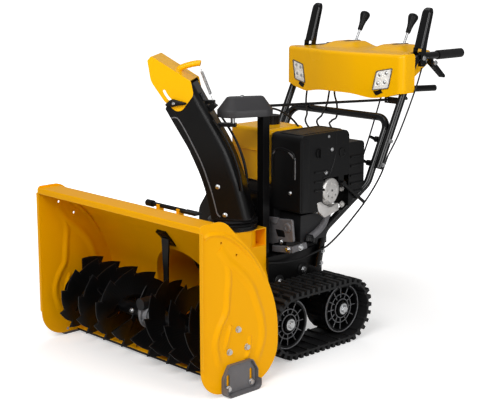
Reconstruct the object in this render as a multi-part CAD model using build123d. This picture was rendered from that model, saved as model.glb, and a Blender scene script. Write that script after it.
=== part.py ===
from build123d import *
import math
import os

# A two stage snowblower on rubber tracks, in millimetres. X runs across the machine and +X is the
# operator's left. Y runs from the intake back to the grips. Z runs up from the ground.
# Each sub-part has its own function, and the table at the end names the files they are written to.

# Overall places, all measured back from the housing's front lip
FRONT = -740.0


def behind(distance):
    """Return the Y of a place that far behind the housing's front lip."""
    return FRONT + distance


# Fits and clearances
SEAT_GAP = 0.3
RUNNING_GAP = 0.05
BOLT_GAP = 0.3

# Auger housing
HOUSING_HALF_WIDTH = 430.0
HOUSING_TOP = 559.0
HOUSING_FLOOR = 16.0
HOUSING_DEPTH = 327.0
ROOF_DEPTH = 96.0
BACK_BEND_DEPTH = 255.0
BACK_BEND_HEIGHT = 400.0
BACK_UPRIGHT_TOP = 235.0
FLOOR_FRONT = 150.0
LIP_HEIGHT = 18.0
WRAP_SHEET = 3.0
WRAP_BENDS = (5.0, 60.0, 400.0, 350.0, 115.0)
PANEL_SHEET = 4.0
PANEL_MARGIN = 6.0
PANEL_TOE_RADIUS = 92.0
PANEL_FLANGE = 8.0
CUTTER_HOLE_RADIUS = 4.5
CUTTER_HOLES = ((86.0, 498.0), (150.0, 449.0))
SCRAPER_THICKNESS = 8.0
SCRAPER_DEPTH = 70.0
TOOL_Y = behind(118.0)
TOOL_Z = HOUSING_TOP + 2

# Auger, its shaft and the worm gearbox
AUGER_Y = behind(155.0)
AUGER_Z = 163.0
AUGER_RADIUS = 142.0
AUGER_PITCH = 200.0
RIBBON_INNER = 72.0
RIBBON_THICKNESS = 4.0
RIBBON_NOTCH = 12.0
RIBBON_INNER_END = 50.0
RIBBON_OUTER_END = 398.0
TOOTH_ANGLE = 45.0
SHAFT_RADIUS = 19.0
SLEEVE_RADIUS = 24.0
ARM_WIDTH = 26.0
ARM_THICKNESS = 6.0
BEARING_FLANGE_RADIUS = 58.0
BEARING_FLANGE_THICKNESS = 5.0
BEARING_HUB_RADIUS = 30.0
BEARING_HUB_LENGTH = 18.0
BEARING_BOLT_RADIUS = 5.0
BEARING_BOLT_CIRCLE = 44.0
GEARBOX_HALF_WIDTH = 34.0
GEARBOX_WALL = 6.0
WORM_WHEEL_RADIUS = 28.0
WORM_RADIUS = 13.0
WORM_MESH_GAP = 0.5
SUPPORT_SETBACK = 58.0

# Impeller and its drum
IMPELLER_Z = AUGER_Z + WORM_WHEEL_RADIUS + WORM_RADIUS + WORM_MESH_GAP
IMPELLER_SHAFT_RADIUS = 12.5
IMPELLER_RADIUS = 158.0
IMPELLER_FRONT = behind(420.0)
IMPELLER_LENGTH = 92.0
IMPELLER_HUB_RADIUS = 30.0
BLADE_COUNT = 4
BLADE_THICKNESS = 5.0
DRUM_RADIUS = 165.0
DRUM_SHEET = 3.0
DRUM_REAR = behind(551.0)

# Chute: its base ring, its channel and the deflector, drawn facing forwards and then turned
CHUTE_X = 72.0
CHUTE_Y = behind(470.0)
CHUTE_YAW = -52.0
CHUTE_BORE = 75.0
COLLAR_TOP = 426.0
DISCHARGE_HALF_WIDTH = 82.0
COLLAR_SHEET = 3.6
RECEIVER_FLOOR = 360.0
RECEIVER_FRONT = behind(476.0)
RING_HEIGHT = 14.0
RING_OUTER = 86.0
CHUTE_HALF_WIDTH = 72.0
CHUTE_SHEET = 3.0
CHUTE_CORNER = 32.0
CHUTE_RIM = 2.0
CHUTE_BODY_BASE = 470.0
CHUTE_HEM_WIDTH = 22.0
CHUTE_HEM_THICKNESS = 2.5
CHUTE_GUARD_TOP = 600.0
HINGE_REACH = 148.0
HINGE_HEIGHT = 938.0
HINGE_PIN_RADIUS = 4.0
DEFLECTOR_SHEET = 3.0
DEFLECTOR_TRAVEL = 38.0
KNOB_BOLT_RADIUS = 3.5
SLOT_ARC_RADIUS = 80.0
SLOT_START_ANGLE = 60.0
SLOT_HALF_WIDTH = 4.6
SPRING_RADIUS = 6.0
SPRING_HOOK_DROP = 67.0
BRACKET_HEIGHT = 12.0
GEAR_SHAFT_DROP = 23.0

# Gear cover, post and crank of the chute
GEAR_COVER_RADIUS = 54.0
GEAR_COVER_BASE = 816.0
GEAR_COVER_BRIM = 24.0
GEAR_COVER_TOP = 884.0
GEAR_COVER_WALL = 3.0
TAIL_HALF_WIDTH = 30.0
TAIL_LENGTH = 137.0
POST_X = 119.0
POST_Y = behind(571.0)
POST_SIDE = 30.0
POST_WALL = 2.5
CROWN_GEAR_RADIUS = 44.0
PINION_RADIUS = 9.0
CRANK_FRONT = (102.0, behind(495.0), 849.0)
CRANK_REAR = (232.0, behind(1213.0), 828.0)
CRANK_RADIUS = 5.0
CRANK_THROW = (-30.0, 0.0, 33.0)
CRANK_GRIP_RADIUS = 12.0
CRANK_GRIP_LENGTH = 158.0

# Chassis and drive
CHASSIS_HALF_WIDTH = 165.0
CHASSIS_SHEET = 4.0
CHASSIS_BOTTOM = 92.0
CHASSIS_REAR = behind(828.0)
DECK_TOP = 318.0
DECK_FRONT = behind(622.0)
DECK_SHEET = 5.0
COVER_LEFT = -213.0
COVER_RIGHT = 98.0
COVER_FRONT = behind(562.0)
COVER_REAR = behind(618.0)
COVER_TOP = 525.0
COVER_WALL = 3.0
DRIVEN_PULLEY_RADIUS = 100.0
ENGINE_PULLEY_RADIUS = 40.0
PULLEY_WIDTH = 17.0
PULLEY_Y = behind(594.0)
BELT_DEPTH = 8.0
BELT_WIDTH = 9.0
ENGINE_SHAFT_Z = 428.0
ENGINE_SHAFT_RADIUS = 12.5

# Engine
ENGINE_LEFT = -118.0
ENGINE_RIGHT = 150.0
ENGINE_FRONT = behind(634.0)
ENGINE_REAR = behind(868.0)
RAIL_HEIGHT = 30.0
BLOCK_TOP = 556.0
TANK_LEFT = -106.0
TANK_RIGHT = 104.0
TANK_FRONT = behind(620.0)
TANK_REAR = behind(800.0)
TANK_BASE = 568.0
TANK_STEP = 678.0
TANK_TOP = 757.0
TANK_CORNER = 22.0
CAP_X = -8.0
CAP_Y = behind(732.0)
CAP_RADIUS = 34.0
CAP_HEIGHT = 32.0
HEATER_BOX_INNER = 110.0
HEATER_BOX_OUTER = 250.0
HEATER_BOX_FRONT = behind(620.0)
HEATER_BOX_REAR = behind(873.0)
HEATER_BOX_BASE = 470.0
HEATER_BOX_TOP = 750.0
HEATER_BOX_WALL = 4.0
CHOKE_Y = behind(716.0)
CHOKE_Z = 680.0
CHOKE_RADIUS = 17.0
STARTER_REAR = behind(955.0)
STARTER_TOP = 702.0
STARTER_BASE = 470.0
RECOIL_RADIUS = 108.0
STARTER_WALL = 3.0

# Tracks
TRACK_INNER = 195.0
TRACK_OUTER = 350.0
AXLE_FRONT_Y = behind(508.0)
AXLE_SPACING = 270.0
WHEEL_TEETH = 12
BELT_STEPS = 5
TRACK_PITCH = AXLE_SPACING / BELT_STEPS
RIB_HEIGHT = 5.0
CARCASS_THICKNESS = 7.0
LUG_HEIGHT = 15.0
CARCASS_RADIUS = TRACK_PITCH * WHEEL_TEETH / (2 * math.pi)
AXLE_Z = CARCASS_RADIUS + LUG_HEIGHT
LUG_LENGTH = 13.0
AXLE_RADIUS = 12.0
WHEEL_OUTER = 312.0
WHEEL_INNER = 214.0
WHEEL_RIM_WALL = 7.0
BEAM_GAP = 5.0
BEAM_SHEET = 6.0

# Handles
TUBE_RADIUS = 14.0
TUBE_WALL = 2.0
LOWER_TUBE_X = 250.0
UPPER_TUBE_X = LOWER_TUBE_X + 2 * TUBE_RADIUS + SEAT_GAP
HANDLE_SLOPE = 0.5
HANDLE_Y = behind(1052.0)
HANDLE_Z = 691.0
CROSSBAR_Z = 768.0
LEG_X = 179.3
LEG_FOOT = (788.0, 246.0)
LEG_KNEE = (818.0, 378.0)
LEG_BEND_Z = 540.0
UPPER_TUBE_FOOT_Z = 595.0
TUBE_BEND = 60.0
GRIP_RADIUS = 17.5
GRIP_FRONT = behind(1330.0)
GRIP_REAR = behind(1480.0)
GRIP_Z = 988.0
HANDLE_BOLT_RADIUS = 4.0
HANDLE_BOLT_HEIGHTS = (608.0, 691.0)

# Paddles, triggers, levers and console
PADDLE_PIVOT_Y = behind(1222.0)
PADDLE_PIVOT_Z = 983.0
PADDLE_LENGTH = 190.0
PADDLE_TAIL = 24.0
PADDLE_LEAN = 72.0
PADDLE_SHEET = 2.5
PADDLE_WEB_HEIGHT = 18.5
PADDLE_WEB_START = 32.0
PADDLE_PIN_RADIUS = 4.0
TRIGGER_PIVOT_Y = behind(1292.0)
TRIGGER_PIVOT_Z = 962.0
LEVER_X = 122.0
LEVER_PIVOT_Y = behind(1290.0)
LEVER_PIVOT_Z = 955.0
LEVER_LEAN = 28.0
LEVER_ROD_RADIUS = 5.0
LEVER_LENGTH = 200.0
LEVER_KNOB_LENGTH = 78.0
LEVER_KNOB_RADIUS = 20.0
CONSOLE_BOTTOM = 848.0
CONSOLE_TOP = 1002.0
CONSOLE_WALL = 3.0
CONSOLE_HALF_WIDTH = UPPER_TUBE_X + TUBE_RADIUS + SEAT_GAP + CONSOLE_WALL
HUMP_HEIGHT = 30.0
CONSOLE_BROW = (172.0, behind(1086.0))
CONSOLE_END_FRONT = behind(1109.0)
LAMP_X = 210.0
LAMP_WIDTH = 70.0
LAMP_HEIGHT = 76.0
LAMP_Z = 907.0

# Skid shoes
SHOE_BOLT_Z = 22.0
SHOE_BOLTS = (108.0, 208.0)
SHOE_BOLT_RADIUS = 5.0
SHOE_TRAVEL = 40.0
SHOE_FRONT = 84.0
SHOE_REAR = 232.0
SHOE_TOP = 100.0
SHOE_SHEET = 4.0
SHOE_FOOT = 30.0


# Shapes that several sub-parts share

def block(x_range, y_range, z_range):
    """Return a box between the low and high values on each axis."""
    spans = (x_range, y_range, z_range)
    centre = [(low + high) / 2 for low, high in spans]
    return Pos(*centre) * Box(*[high - low for low, high in spans])


def bar(start, end, radius):
    """Return a round bar from start to end."""
    along = Vector(*end) - Vector(*start)
    base = Plane(origin=Vector(*start), z_dir=along)
    return base * Cylinder(radius, along.length, align=(Align.CENTER, Align.CENTER, Align.MIN))


def hollow_bar(start, end, radius, bore):
    """Return a round tube from start to end."""
    return bar(start, end, radius) - bar(start, end, bore)


def outline(points, radii=None):
    """Return a flat face with the given corners, rounded where radii are given."""
    if radii is None:
        return make_face(Polyline(*points, close=True))
    return make_face(FilletPolyline(*points, radius=radii, close=True))


def across(face, x_range):
    """Extrude a face that is drawn in Y and Z along X."""
    return extrude(Plane.YZ.offset(x_range[0]) * face, x_range[1] - x_range[0])


def lengthwise(face, y_range):
    """Extrude a face that is drawn in X and Z along Y."""
    plane = Plane(origin=(0, y_range[1], 0), x_dir=(1, 0, 0), z_dir=(0, -1, 0))
    return extrude(plane * face, y_range[1] - y_range[0])


def upwards(face, z_range):
    """Extrude a face that is drawn in X and Y along Z."""
    return extrude(Plane.XY.offset(z_range[0]) * face, z_range[1] - z_range[0])


def bent_bar(points, radii, radius, bore=0.0):
    """Return a round bar, or a tube where a bore is given, along points joined by arcs."""
    path = FilletPolyline(*points, radius=radii)
    start = Plane(origin=path @ 0, z_dir=path % 0)
    shape = sweep(start * Circle(radius), path=path)
    if bore:
        shape -= sweep(start * Circle(bore), path=path)
    return shape


def cable(points, radius):
    """Return a cable on the widest arcs that its runs allow."""
    corners = []
    for before, corner, after in zip(points, points[1:], points[2:]):
        run_in = Vector(*corner) - Vector(*before)
        run_out = Vector(*after) - Vector(*corner)
        half_turn = math.radians(run_in.get_angle(run_out)) / 2
        corners.append(0.45 * min(run_in.length, run_out.length) / math.tan(half_turn))
    print("cable radii", [round(corner) for corner in corners])
    return bent_bar(points, corners, radius)


def bolt(seat, outward, radius, reach):
    """Return a hexagon bolt with its washer: seat is under the washer, and the shank goes inward."""
    plane = Plane(origin=Vector(*seat), z_dir=Vector(*outward))
    washer = 0.35 * radius
    head = 1.3 * radius
    shank = Cylinder(radius, reach, align=(Align.CENTER, Align.CENTER, Align.MAX))
    disc = Cylinder(2.1 * radius, washer, align=(Align.CENTER, Align.CENTER, Align.MIN))
    cap = extrude(Plane.XY.offset(washer) * RegularPolygon(1.75 * radius, 6), head)
    return plane * (shank + disc + cap)


def both_sides(part):
    """Return a part of the operator's left side together with its mirror image."""
    return [part, mirror(part, about=Plane.YZ)]


def shifted_line(points, distance):
    """Return an open line of points moved to the right of its direction by distance."""
    directions = []
    for start, end in zip(points, points[1:]):
        run = (end[0] - start[0], end[1] - start[1])
        length = math.hypot(*run)
        directions.append((run[0] / length, run[1] / length))
    moved = []
    for index, point in enumerate(points):
        first = directions[max(index - 1, 0)]
        second = directions[min(index, len(directions) - 1)]
        share = distance / (1 + first[0] * second[0] + first[1] * second[1])
        moved.append((point[0] + (first[1] + second[1]) * share,
                      point[1] - (first[0] + second[0]) * share))
    return moved


# Auger housing

def wrap_corners():
    """Return the corners of the wrap's outer face from the lip, over the roof, down to the floor."""
    return [(FRONT, HOUSING_TOP - LIP_HEIGHT), (FRONT, HOUSING_TOP), (behind(ROOF_DEPTH), HOUSING_TOP),
            (behind(BACK_BEND_DEPTH), BACK_BEND_HEIGHT), (behind(HOUSING_DEPTH), BACK_UPRIGHT_TOP),
            (behind(HOUSING_DEPTH), HOUSING_FLOOR), (behind(FLOOR_FRONT), HOUSING_FLOOR)]


def wrap_inside(gap):
    """Return the face of the space that lies inside the wrap's sheet and a gap."""
    corners = shifted_line(wrap_corners()[1:], WRAP_SHEET + gap)
    radii = [bend - WRAP_SHEET - gap for bend in WRAP_BENDS[1:]]
    return outline([*corners, (corners[0][0], corners[-1][1])], [0] + radii + [0, 0])


def wrap_volume():
    """Return the whole space that the wrap encloses, with the wrap itself."""
    face = outline(wrap_corners()[1:] + [(FRONT, HOUSING_FLOOR)], list(WRAP_BENDS) + [0, 0])
    return across(face, (-HOUSING_HALF_WIDTH, HOUSING_HALF_WIDTH))


def housing_wrap():
    outer = FilletPolyline(*wrap_corners(), radius=WRAP_BENDS)
    inner = FilletPolyline(*shifted_line(wrap_corners(), WRAP_SHEET),
                           radius=[bend - WRAP_SHEET for bend in WRAP_BENDS])
    face = make_face([*outer.edges(), *inner.edges(), Line(outer @ 0, inner @ 0), Line(outer @ 1, inner @ 1)])
    inside = HOUSING_HALF_WIDTH - PANEL_SHEET
    wrap = across(face, (-inside, inside))
    wrap -= bar((0, behind(ROOF_DEPTH), IMPELLER_Z), (0, behind(HOUSING_DEPTH + 20), IMPELLER_Z), DRUM_RADIUS)
    for y, z in gearbox_support_bolts():
        wrap -= bar((0, y - 10, z - 10), (0, y + 10, z + 10), HANDLE_BOLT_RADIUS + BOLT_GAP)
    for clip in tool_clips():
        wrap += clip
    return wrap


def panel_outline():
    """Return a side panel's face: the wrap's line, grown by a margin and closed at the front."""
    grown = shifted_line(wrap_corners()[1:], -PANEL_MARGIN)
    corners = [(FRONT, grown[0][1]), *grown[1:-1], (FRONT, HOUSING_FLOOR - PANEL_MARGIN)]
    radii = [14.0] + [bend + PANEL_MARGIN for bend in WRAP_BENDS[1:]] + [PANEL_TOE_RADIUS]
    return outline(corners, radii)


def side_panel():
    inside = HOUSING_HALF_WIDTH - PANEL_SHEET
    panel = across(panel_outline(), (inside, HOUSING_HALF_WIDTH))
    flange_low = HOUSING_FLOOR + PANEL_TOE_RADIUS
    panel += block((inside, HOUSING_HALF_WIDTH + PANEL_FLANGE), (FRONT, FRONT + WRAP_SHEET),
                   (flange_low, HOUSING_TOP - LIP_HEIGHT))
    for distance, z in CUTTER_HOLES:
        panel -= bar((inside - 5, behind(distance), z), (HOUSING_HALF_WIDTH + 5, behind(distance), z),
                     CUTTER_HOLE_RADIUS)
    for distance in SHOE_BOLTS:
        panel -= bar((inside - 5, behind(distance), SHOE_BOLT_Z),
                     (HOUSING_HALF_WIDTH + 5, behind(distance), SHOE_BOLT_Z), SHOE_BOLT_RADIUS + BOLT_GAP)
    for y, z in bearing_bolt_places():
        panel -= bar((inside - 5, y, z), (HOUSING_HALF_WIDTH + 5, y, z), BEARING_BOLT_RADIUS + BOLT_GAP)
    return panel


def scraper_blade():
    inside = HOUSING_HALF_WIDTH - PANEL_SHEET - SEAT_GAP
    return block((-inside, inside), (behind(FLOOR_FRONT), behind(FLOOR_FRONT + SCRAPER_DEPTH)),
                 (HOUSING_FLOOR - SCRAPER_THICKNESS, HOUSING_FLOOR))


def impeller_housing():
    """The drum with its back plate, and the discharge box that carries the chute on top."""
    outer = DRUM_RADIUS + DRUM_SHEET
    back = (0, DRUM_REAR, IMPELLER_Z)
    drum = hollow_bar((0, behind(ROOF_DEPTH), IMPELLER_Z), back, outer, DRUM_RADIUS)
    low = (CHUTE_X - DISCHARGE_HALF_WIDTH, CHUTE_Y - DISCHARGE_HALF_WIDTH)
    high = (CHUTE_X + DISCHARGE_HALF_WIDTH, DRUM_REAR)
    case = block((low[0], high[0]), (low[1], high[1]), (IMPELLER_Z, COLLAR_TOP))
    case -= block((low[0] + DRUM_SHEET, high[0] - DRUM_SHEET), (low[1] + DRUM_SHEET, high[1] - DRUM_SHEET),
                  (IMPELLER_Z - 1, COLLAR_TOP - DRUM_SHEET))
    case += block((CHUTE_X, high[0]), (RECEIVER_FRONT, high[1]),
                  (RECEIVER_FLOOR, RECEIVER_FLOOR + DRUM_SHEET))
    case += bar((CHUTE_X, CHUTE_Y, IMPELLER_Z), (CHUTE_X, CHUTE_Y, COLLAR_TOP), CHUTE_BORE + COLLAR_SHEET)
    case -= block((high[0] - DRUM_SHEET - 1, high[0] + 1),
                  (RECEIVER_FRONT + DRUM_SHEET, high[1] - DRUM_SHEET),
                  (RECEIVER_FLOOR + DRUM_SHEET, COLLAR_TOP - DRUM_SHEET))
    case -= bar((0, behind(ROOF_DEPTH), IMPELLER_Z), back, DRUM_RADIUS)
    shell = drum + case
    shell -= bar((CHUTE_X, CHUTE_Y, IMPELLER_Z), (CHUTE_X, CHUTE_Y, COLLAR_TOP + 1), CHUTE_BORE)
    shell += bar((0, DRUM_REAR - DRUM_SHEET, IMPELLER_Z), back, outer)
    shell += bar((0, DRUM_REAR - 14, IMPELLER_Z), back, BEARING_HUB_RADIUS)
    shell -= bar((0, DRUM_REAR - 15, IMPELLER_Z), (0, DRUM_REAR + 1, IMPELLER_Z),
                 IMPELLER_SHAFT_RADIUS + RUNNING_GAP)
    return shell - wrap_volume()


def bearing_bolt_places():
    """Return the Y and Z of the three bolts round a shaft bearing, one up and two down."""
    angles = [math.radians(angle) for angle in (90, 210, 330)]
    return [(AUGER_Y + BEARING_BOLT_CIRCLE * math.cos(angle), AUGER_Z + BEARING_BOLT_CIRCLE * math.sin(angle))
            for angle in angles]


def bearing_flanges():
    """A flanged bearing inside each panel."""
    panel_face = HOUSING_HALF_WIDTH - PANEL_SHEET
    flange = bar((panel_face - BEARING_FLANGE_THICKNESS, AUGER_Y, AUGER_Z), (panel_face, AUGER_Y, AUGER_Z),
                 BEARING_FLANGE_RADIUS)
    flange += bar((panel_face - BEARING_HUB_LENGTH, AUGER_Y, AUGER_Z), (panel_face, AUGER_Y, AUGER_Z),
                  BEARING_HUB_RADIUS)
    flange -= bar((0, AUGER_Y, AUGER_Z), (panel_face + 1, AUGER_Y, AUGER_Z), SHAFT_RADIUS + RUNNING_GAP)
    for y, z in bearing_bolt_places():
        flange -= bar((0, y, z), (panel_face + 1, y, z), BEARING_BOLT_RADIUS + BOLT_GAP)
    return both_sides(flange)


def gearbox_support_bolts():
    """Return where the two bolts of the gearbox's strut pass the sloping back wall."""
    middle = behind((ROOF_DEPTH + BACK_BEND_DEPTH) / 2 + SUPPORT_SETBACK)
    height = HOUSING_TOP + behind(ROOF_DEPTH) - middle
    return [(middle - 16, height + 16), (middle + 16, height - 16)]


def gearbox_support():
    """The strut that holds the gearbox from the sloping back wall."""
    (upper_y, upper_z), (lower_y, lower_z) = gearbox_support_bolts()
    middle = ((upper_y + lower_y) / 2, (upper_z + lower_z) / 2)
    inward = math.sqrt(0.5)
    seat = (middle[0] - inward * WRAP_SHEET, middle[1] - inward * WRAP_SHEET)
    foot = Pos(0, seat[0] - inward * 5, seat[1] - inward * 5) * Rot(-45, 0, 0) * Box(44, 76, 14)
    foot = foot & across(wrap_inside(SEAT_GAP), (-30, 30))
    for y, z in gearbox_support_bolts():
        foot -= bar((0, y - 20, z - 20), (0, y + 5, z + 5), HANDLE_BOLT_RADIUS + BOLT_GAP)
    bottom = gearbox_top()
    strut = lengthwise(outline([(-11, bottom), (-11, bottom + 60), (-19, seat[1] - 4), (19, seat[1] - 4),
                                (11, bottom + 60), (11, bottom)]), (seat[0] - 12, seat[0] - 5))
    return foot + strut


def gearbox_top():
    """Return the height of the pad on the worm barrel that carries the strut."""
    return IMPELLER_Z + WORM_RADIUS + GEARBOX_WALL + 10


def auger_gearbox():
    """The cast case round the worm wheel on the auger shaft and the worm on the impeller shaft."""
    case = bar((-GEARBOX_HALF_WIDTH, AUGER_Y, AUGER_Z), (GEARBOX_HALF_WIDTH, AUGER_Y, AUGER_Z), 30)
    case += bar((-20, AUGER_Y, AUGER_Z), (20, AUGER_Y, AUGER_Z), WORM_WHEEL_RADIUS + 2 + GEARBOX_WALL)
    barrel = WORM_RADIUS + 2 + GEARBOX_WALL
    case += bar((0, AUGER_Y - 48, IMPELLER_Z), (0, AUGER_Y + 96, IMPELLER_Z), barrel)
    case += bar((0, AUGER_Y + 84, IMPELLER_Z), (0, AUGER_Y + 96, IMPELLER_Z), barrel + 6)
    pad_y = gearbox_support_bolts()[0][0] + 6
    case += block((-16, 16), (pad_y - 14, pad_y + 14), (IMPELLER_Z, gearbox_top()))
    case -= bar((-13, AUGER_Y, AUGER_Z), (13, AUGER_Y, AUGER_Z), WORM_WHEEL_RADIUS + 2)
    case -= bar((0, AUGER_Y - 42, IMPELLER_Z), (0, AUGER_Y + 40, IMPELLER_Z), WORM_RADIUS + 2)
    case -= bar((0, AUGER_Y, IMPELLER_Z), (0, AUGER_Y + 100, IMPELLER_Z), IMPELLER_SHAFT_RADIUS + RUNNING_GAP)
    case -= bar((-60, AUGER_Y, AUGER_Z), (60, AUGER_Y, AUGER_Z), SHAFT_RADIUS + RUNNING_GAP)
    return case


def auger_shaft():
    """The shaft across the housing, with the worm wheel on it."""
    end = HOUSING_HALF_WIDTH - PANEL_SHEET - 2
    shaft = bar((-end, AUGER_Y, AUGER_Z), (end, AUGER_Y, AUGER_Z), SHAFT_RADIUS)
    return shaft + bar((-11, AUGER_Y, AUGER_Z), (11, AUGER_Y, AUGER_Z), WORM_WHEEL_RADIUS)


def ribbon(start_angle):
    """One toothed ribbon of the left auger: radial sections lofted along a right-handed helix."""
    turn = (RIBBON_OUTER_END - RIBBON_INNER_END) / AUGER_PITCH * 360
    tooth = ((0.0, 0.0), (0.35, 0.2), (0.7, 0.55), (0.94, 1.0))
    steps = [((index + share) * TOOTH_ANGLE, depth)
             for index in range(int(turn / TOOTH_ANGLE)) for share, depth in tooth]
    half = RIBBON_THICKNESS / 2
    sections = []
    for angle, depth in steps:
        x = RIBBON_INNER_END + AUGER_PITCH * angle / 360
        outer = AUGER_RADIUS - RIBBON_NOTCH * depth
        direction = math.radians(start_angle + angle)
        corners = [(x + side, AUGER_Y + radius * math.cos(direction), AUGER_Z + radius * math.sin(direction))
                   for radius, side in ((RIBBON_INNER, -half), (outer, -half), (outer, half),
                                        (RIBBON_INNER, half))]
        sections.append(Wire(Polyline(*corners, close=True).edges()))
    return Solid.make_loft(sections, ruled=True)


def auger_flights():
    """Two mirrored halves: a sleeve on the shaft with two ribbons on flat arms."""
    half = hollow_bar((RIBBON_INNER_END - 10, AUGER_Y, AUGER_Z), (RIBBON_OUTER_END + 4, AUGER_Y, AUGER_Z),
                      SLEEVE_RADIUS, SHAFT_RADIUS + RUNNING_GAP)
    for start_angle in (20, 200):
        half += ribbon(start_angle)
        for share in (0.06, 0.47, 0.9):
            x = RIBBON_INNER_END + share * (RIBBON_OUTER_END - RIBBON_INNER_END)
            angle = start_angle + (x - RIBBON_INNER_END) / AUGER_PITCH * 360
            length = RIBBON_INNER + 10 - SHAFT_RADIUS - 2
            arm = Pos(0, SHAFT_RADIUS + 2 + length / 2, 0) * Box(ARM_THICKNESS, length, ARM_WIDTH)
            half += Pos(x, AUGER_Y, AUGER_Z) * Rot(angle, 0, 0) * arm
    return both_sides(half)


def impeller():
    """Four blades on a hub that throws the snow up the chute."""
    rear = IMPELLER_FRONT + IMPELLER_LENGTH
    rotor = bar((0, IMPELLER_FRONT, IMPELLER_Z), (0, rear, IMPELLER_Z), IMPELLER_HUB_RADIUS)
    for index in range(BLADE_COUNT):
        blade = block((-BLADE_THICKNESS / 2, BLADE_THICKNESS / 2), (IMPELLER_FRONT, rear),
                      (20, IMPELLER_RADIUS))
        brace = block((-BLADE_THICKNESS / 2, 34), (rear - 4, rear), (20, IMPELLER_RADIUS - 6))
        rotor += Pos(0, 0, IMPELLER_Z) * Rot(0, 45 + index * 360 / BLADE_COUNT, 0) * (blade + brace)
    return rotor - bar((0, IMPELLER_FRONT - 1, IMPELLER_Z), (0, rear + 1, IMPELLER_Z),
                       IMPELLER_SHAFT_RADIUS + RUNNING_GAP)


def grooved_pulley(radius, height):
    """Return a pulley with a belt groove, on the line of the belt."""
    half = PULLEY_WIDTH / 2
    wheel = bar((0, PULLEY_Y - half, height), (0, PULLEY_Y + half, height), radius)
    groove = BELT_WIDTH / 2 + SEAT_GAP
    return wheel - hollow_bar((0, PULLEY_Y - groove, height), (0, PULLEY_Y + groove, height), radius + 1,
                              radius - BELT_DEPTH)


def impeller_shaft():
    """The shaft from the worm in the gearbox to the driven pulley behind the drum."""
    shaft = bar((0, AUGER_Y - 38, IMPELLER_Z), (0, PULLEY_Y + 14, IMPELLER_Z), IMPELLER_SHAFT_RADIUS)
    shaft += bar((0, AUGER_Y - 34, IMPELLER_Z), (0, AUGER_Y + 34, IMPELLER_Z), WORM_RADIUS)
    return shaft + grooved_pulley(DRIVEN_PULLEY_RADIUS, IMPELLER_Z)


# Skid shoes

def skid_shoe():
    """A slotted plate that slides on two bolts, with a turned-out foot and rim."""
    face = HOUSING_HALF_WIDTH
    corners = [(behind(SHOE_FRONT), 0), (behind(SHOE_FRONT), 62), (behind(SHOE_FRONT + 24), SHOE_TOP),
               (behind(SHOE_REAR - 24), SHOE_TOP), (behind(SHOE_REAR), 62), (behind(SHOE_REAR), 0)]
    radii = [18.0, 14.0, 10.0, 10.0, 14.0, 18.0]
    tray = across(outline(corners, radii), (face, face + SHOE_FOOT))
    rim = shifted_line([corners[-1], *corners, corners[0]], SHOE_SHEET)[1:-1]
    tray -= across(outline(rim, [radius - SHOE_SHEET for radius in radii]),
                   (face + SHOE_SHEET, face + SHOE_FOOT + 1))
    tray -= across(outline([(behind(SHOE_FRONT) - 1, 34), (behind(SHOE_FRONT) - 1, SHOE_TOP + 1),
                            (behind(SHOE_REAR) + 1, SHOE_TOP + 1), (behind(SHOE_REAR) + 1, 34)]),
                   (face + 14, face + SHOE_FOOT + 1))
    slot = SHOE_BOLT_RADIUS + 1
    for distance in SHOE_BOLTS:
        y = behind(distance)
        tray -= across(Pos(y, SHOE_BOLT_Z + SHOE_TRAVEL / 2) * Rot(0, 0, 90) *
                       SlotCenterToCenter(SHOE_TRAVEL, 2 * slot), (face - 1, face + SHOE_SHEET + 1))
    return tray


# Chute

def turned(part):
    """Move a part of the chute, drawn facing forwards about the Z axis, to its place and yaw."""
    return Pos(CHUTE_X, CHUTE_Y, 0) * Rot(0, 0, CHUTE_YAW) * part


def side_view(points):
    """Turn reach ahead of the chute's axis and height into Y and Z, because the chute faces -Y."""
    return [(-reach, height) for reach, height in points]


def strip(points, thickness, radii=None):
    """Return a face along an open line, thickened to the right of its direction."""
    return outline(side_view(points + shifted_line(points, thickness)[::-1]), radii)


def chute_height(share):
    """Return a height between the foot of the chute's body and its hinge."""
    return CHUTE_BODY_BASE + share * (HINGE_HEIGHT - CHUTE_BODY_BASE)


def by_hinge(places):
    """Return reaches and heights for places given from the deflector's hinge."""
    return [(HINGE_REACH + ahead, HINGE_HEIGHT + up) for ahead, up in places]


def chute_rear_line():
    """Return the corners of the chute's rear wall as reach ahead of its axis, and height."""
    return [(-CHUTE_HALF_WIDTH, CHUTE_BODY_BASE), (-41, chute_height(0.256)), (2, chute_height(0.513)),
            (55, chute_height(0.711)), *by_hinge([(-18, -4)])]


def chute_front_line():
    """Return the corners of the chute's open front edge, as reach and height."""
    return [(CHUTE_HALF_WIDTH - 8, CHUTE_BODY_BASE), (86, chute_height(0.252)), (142, chute_height(0.521)),
            (187, chute_height(0.684)), *by_hinge([(74, -87)])]


def chute_rear_reach(height):
    """Return the reach of the chute's rear wall at a height."""
    for low, high in zip(chute_rear_line(), chute_rear_line()[1:]):
        if low[1] <= height <= high[1]:
            return low[0] + (high[0] - low[0]) * (height - low[1]) / (high[1] - low[1])


def rounded_back(face, half):
    """Extrude a side view of the chute to both sides and round its two rear edges."""
    shape = across(face, (-half, half))
    rear = chute_rear_line()
    edges = []
    for edge in shape.edges():
        middle = edge @ 0.5
        if abs(abs(middle.X) - half) > 0.01 or not rear[0][1] + 1 < middle.Z < rear[-1][1] - 1:
            continue
        if abs(chute_rear_reach(middle.Z) + middle.Y) < 12:
            edges.append(edge)
    return fillet(edges, CHUTE_CORNER - (CHUTE_HALF_WIDTH - half))


def knob_bolt_place():
    """Return the reach and height of the deflector's clamping bolts."""
    angle = math.radians(SLOT_START_ANGLE)
    return (HINGE_REACH + SLOT_ARC_RADIUS * math.cos(angle), HINGE_HEIGHT - SLOT_ARC_RADIUS * math.sin(angle))


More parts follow.
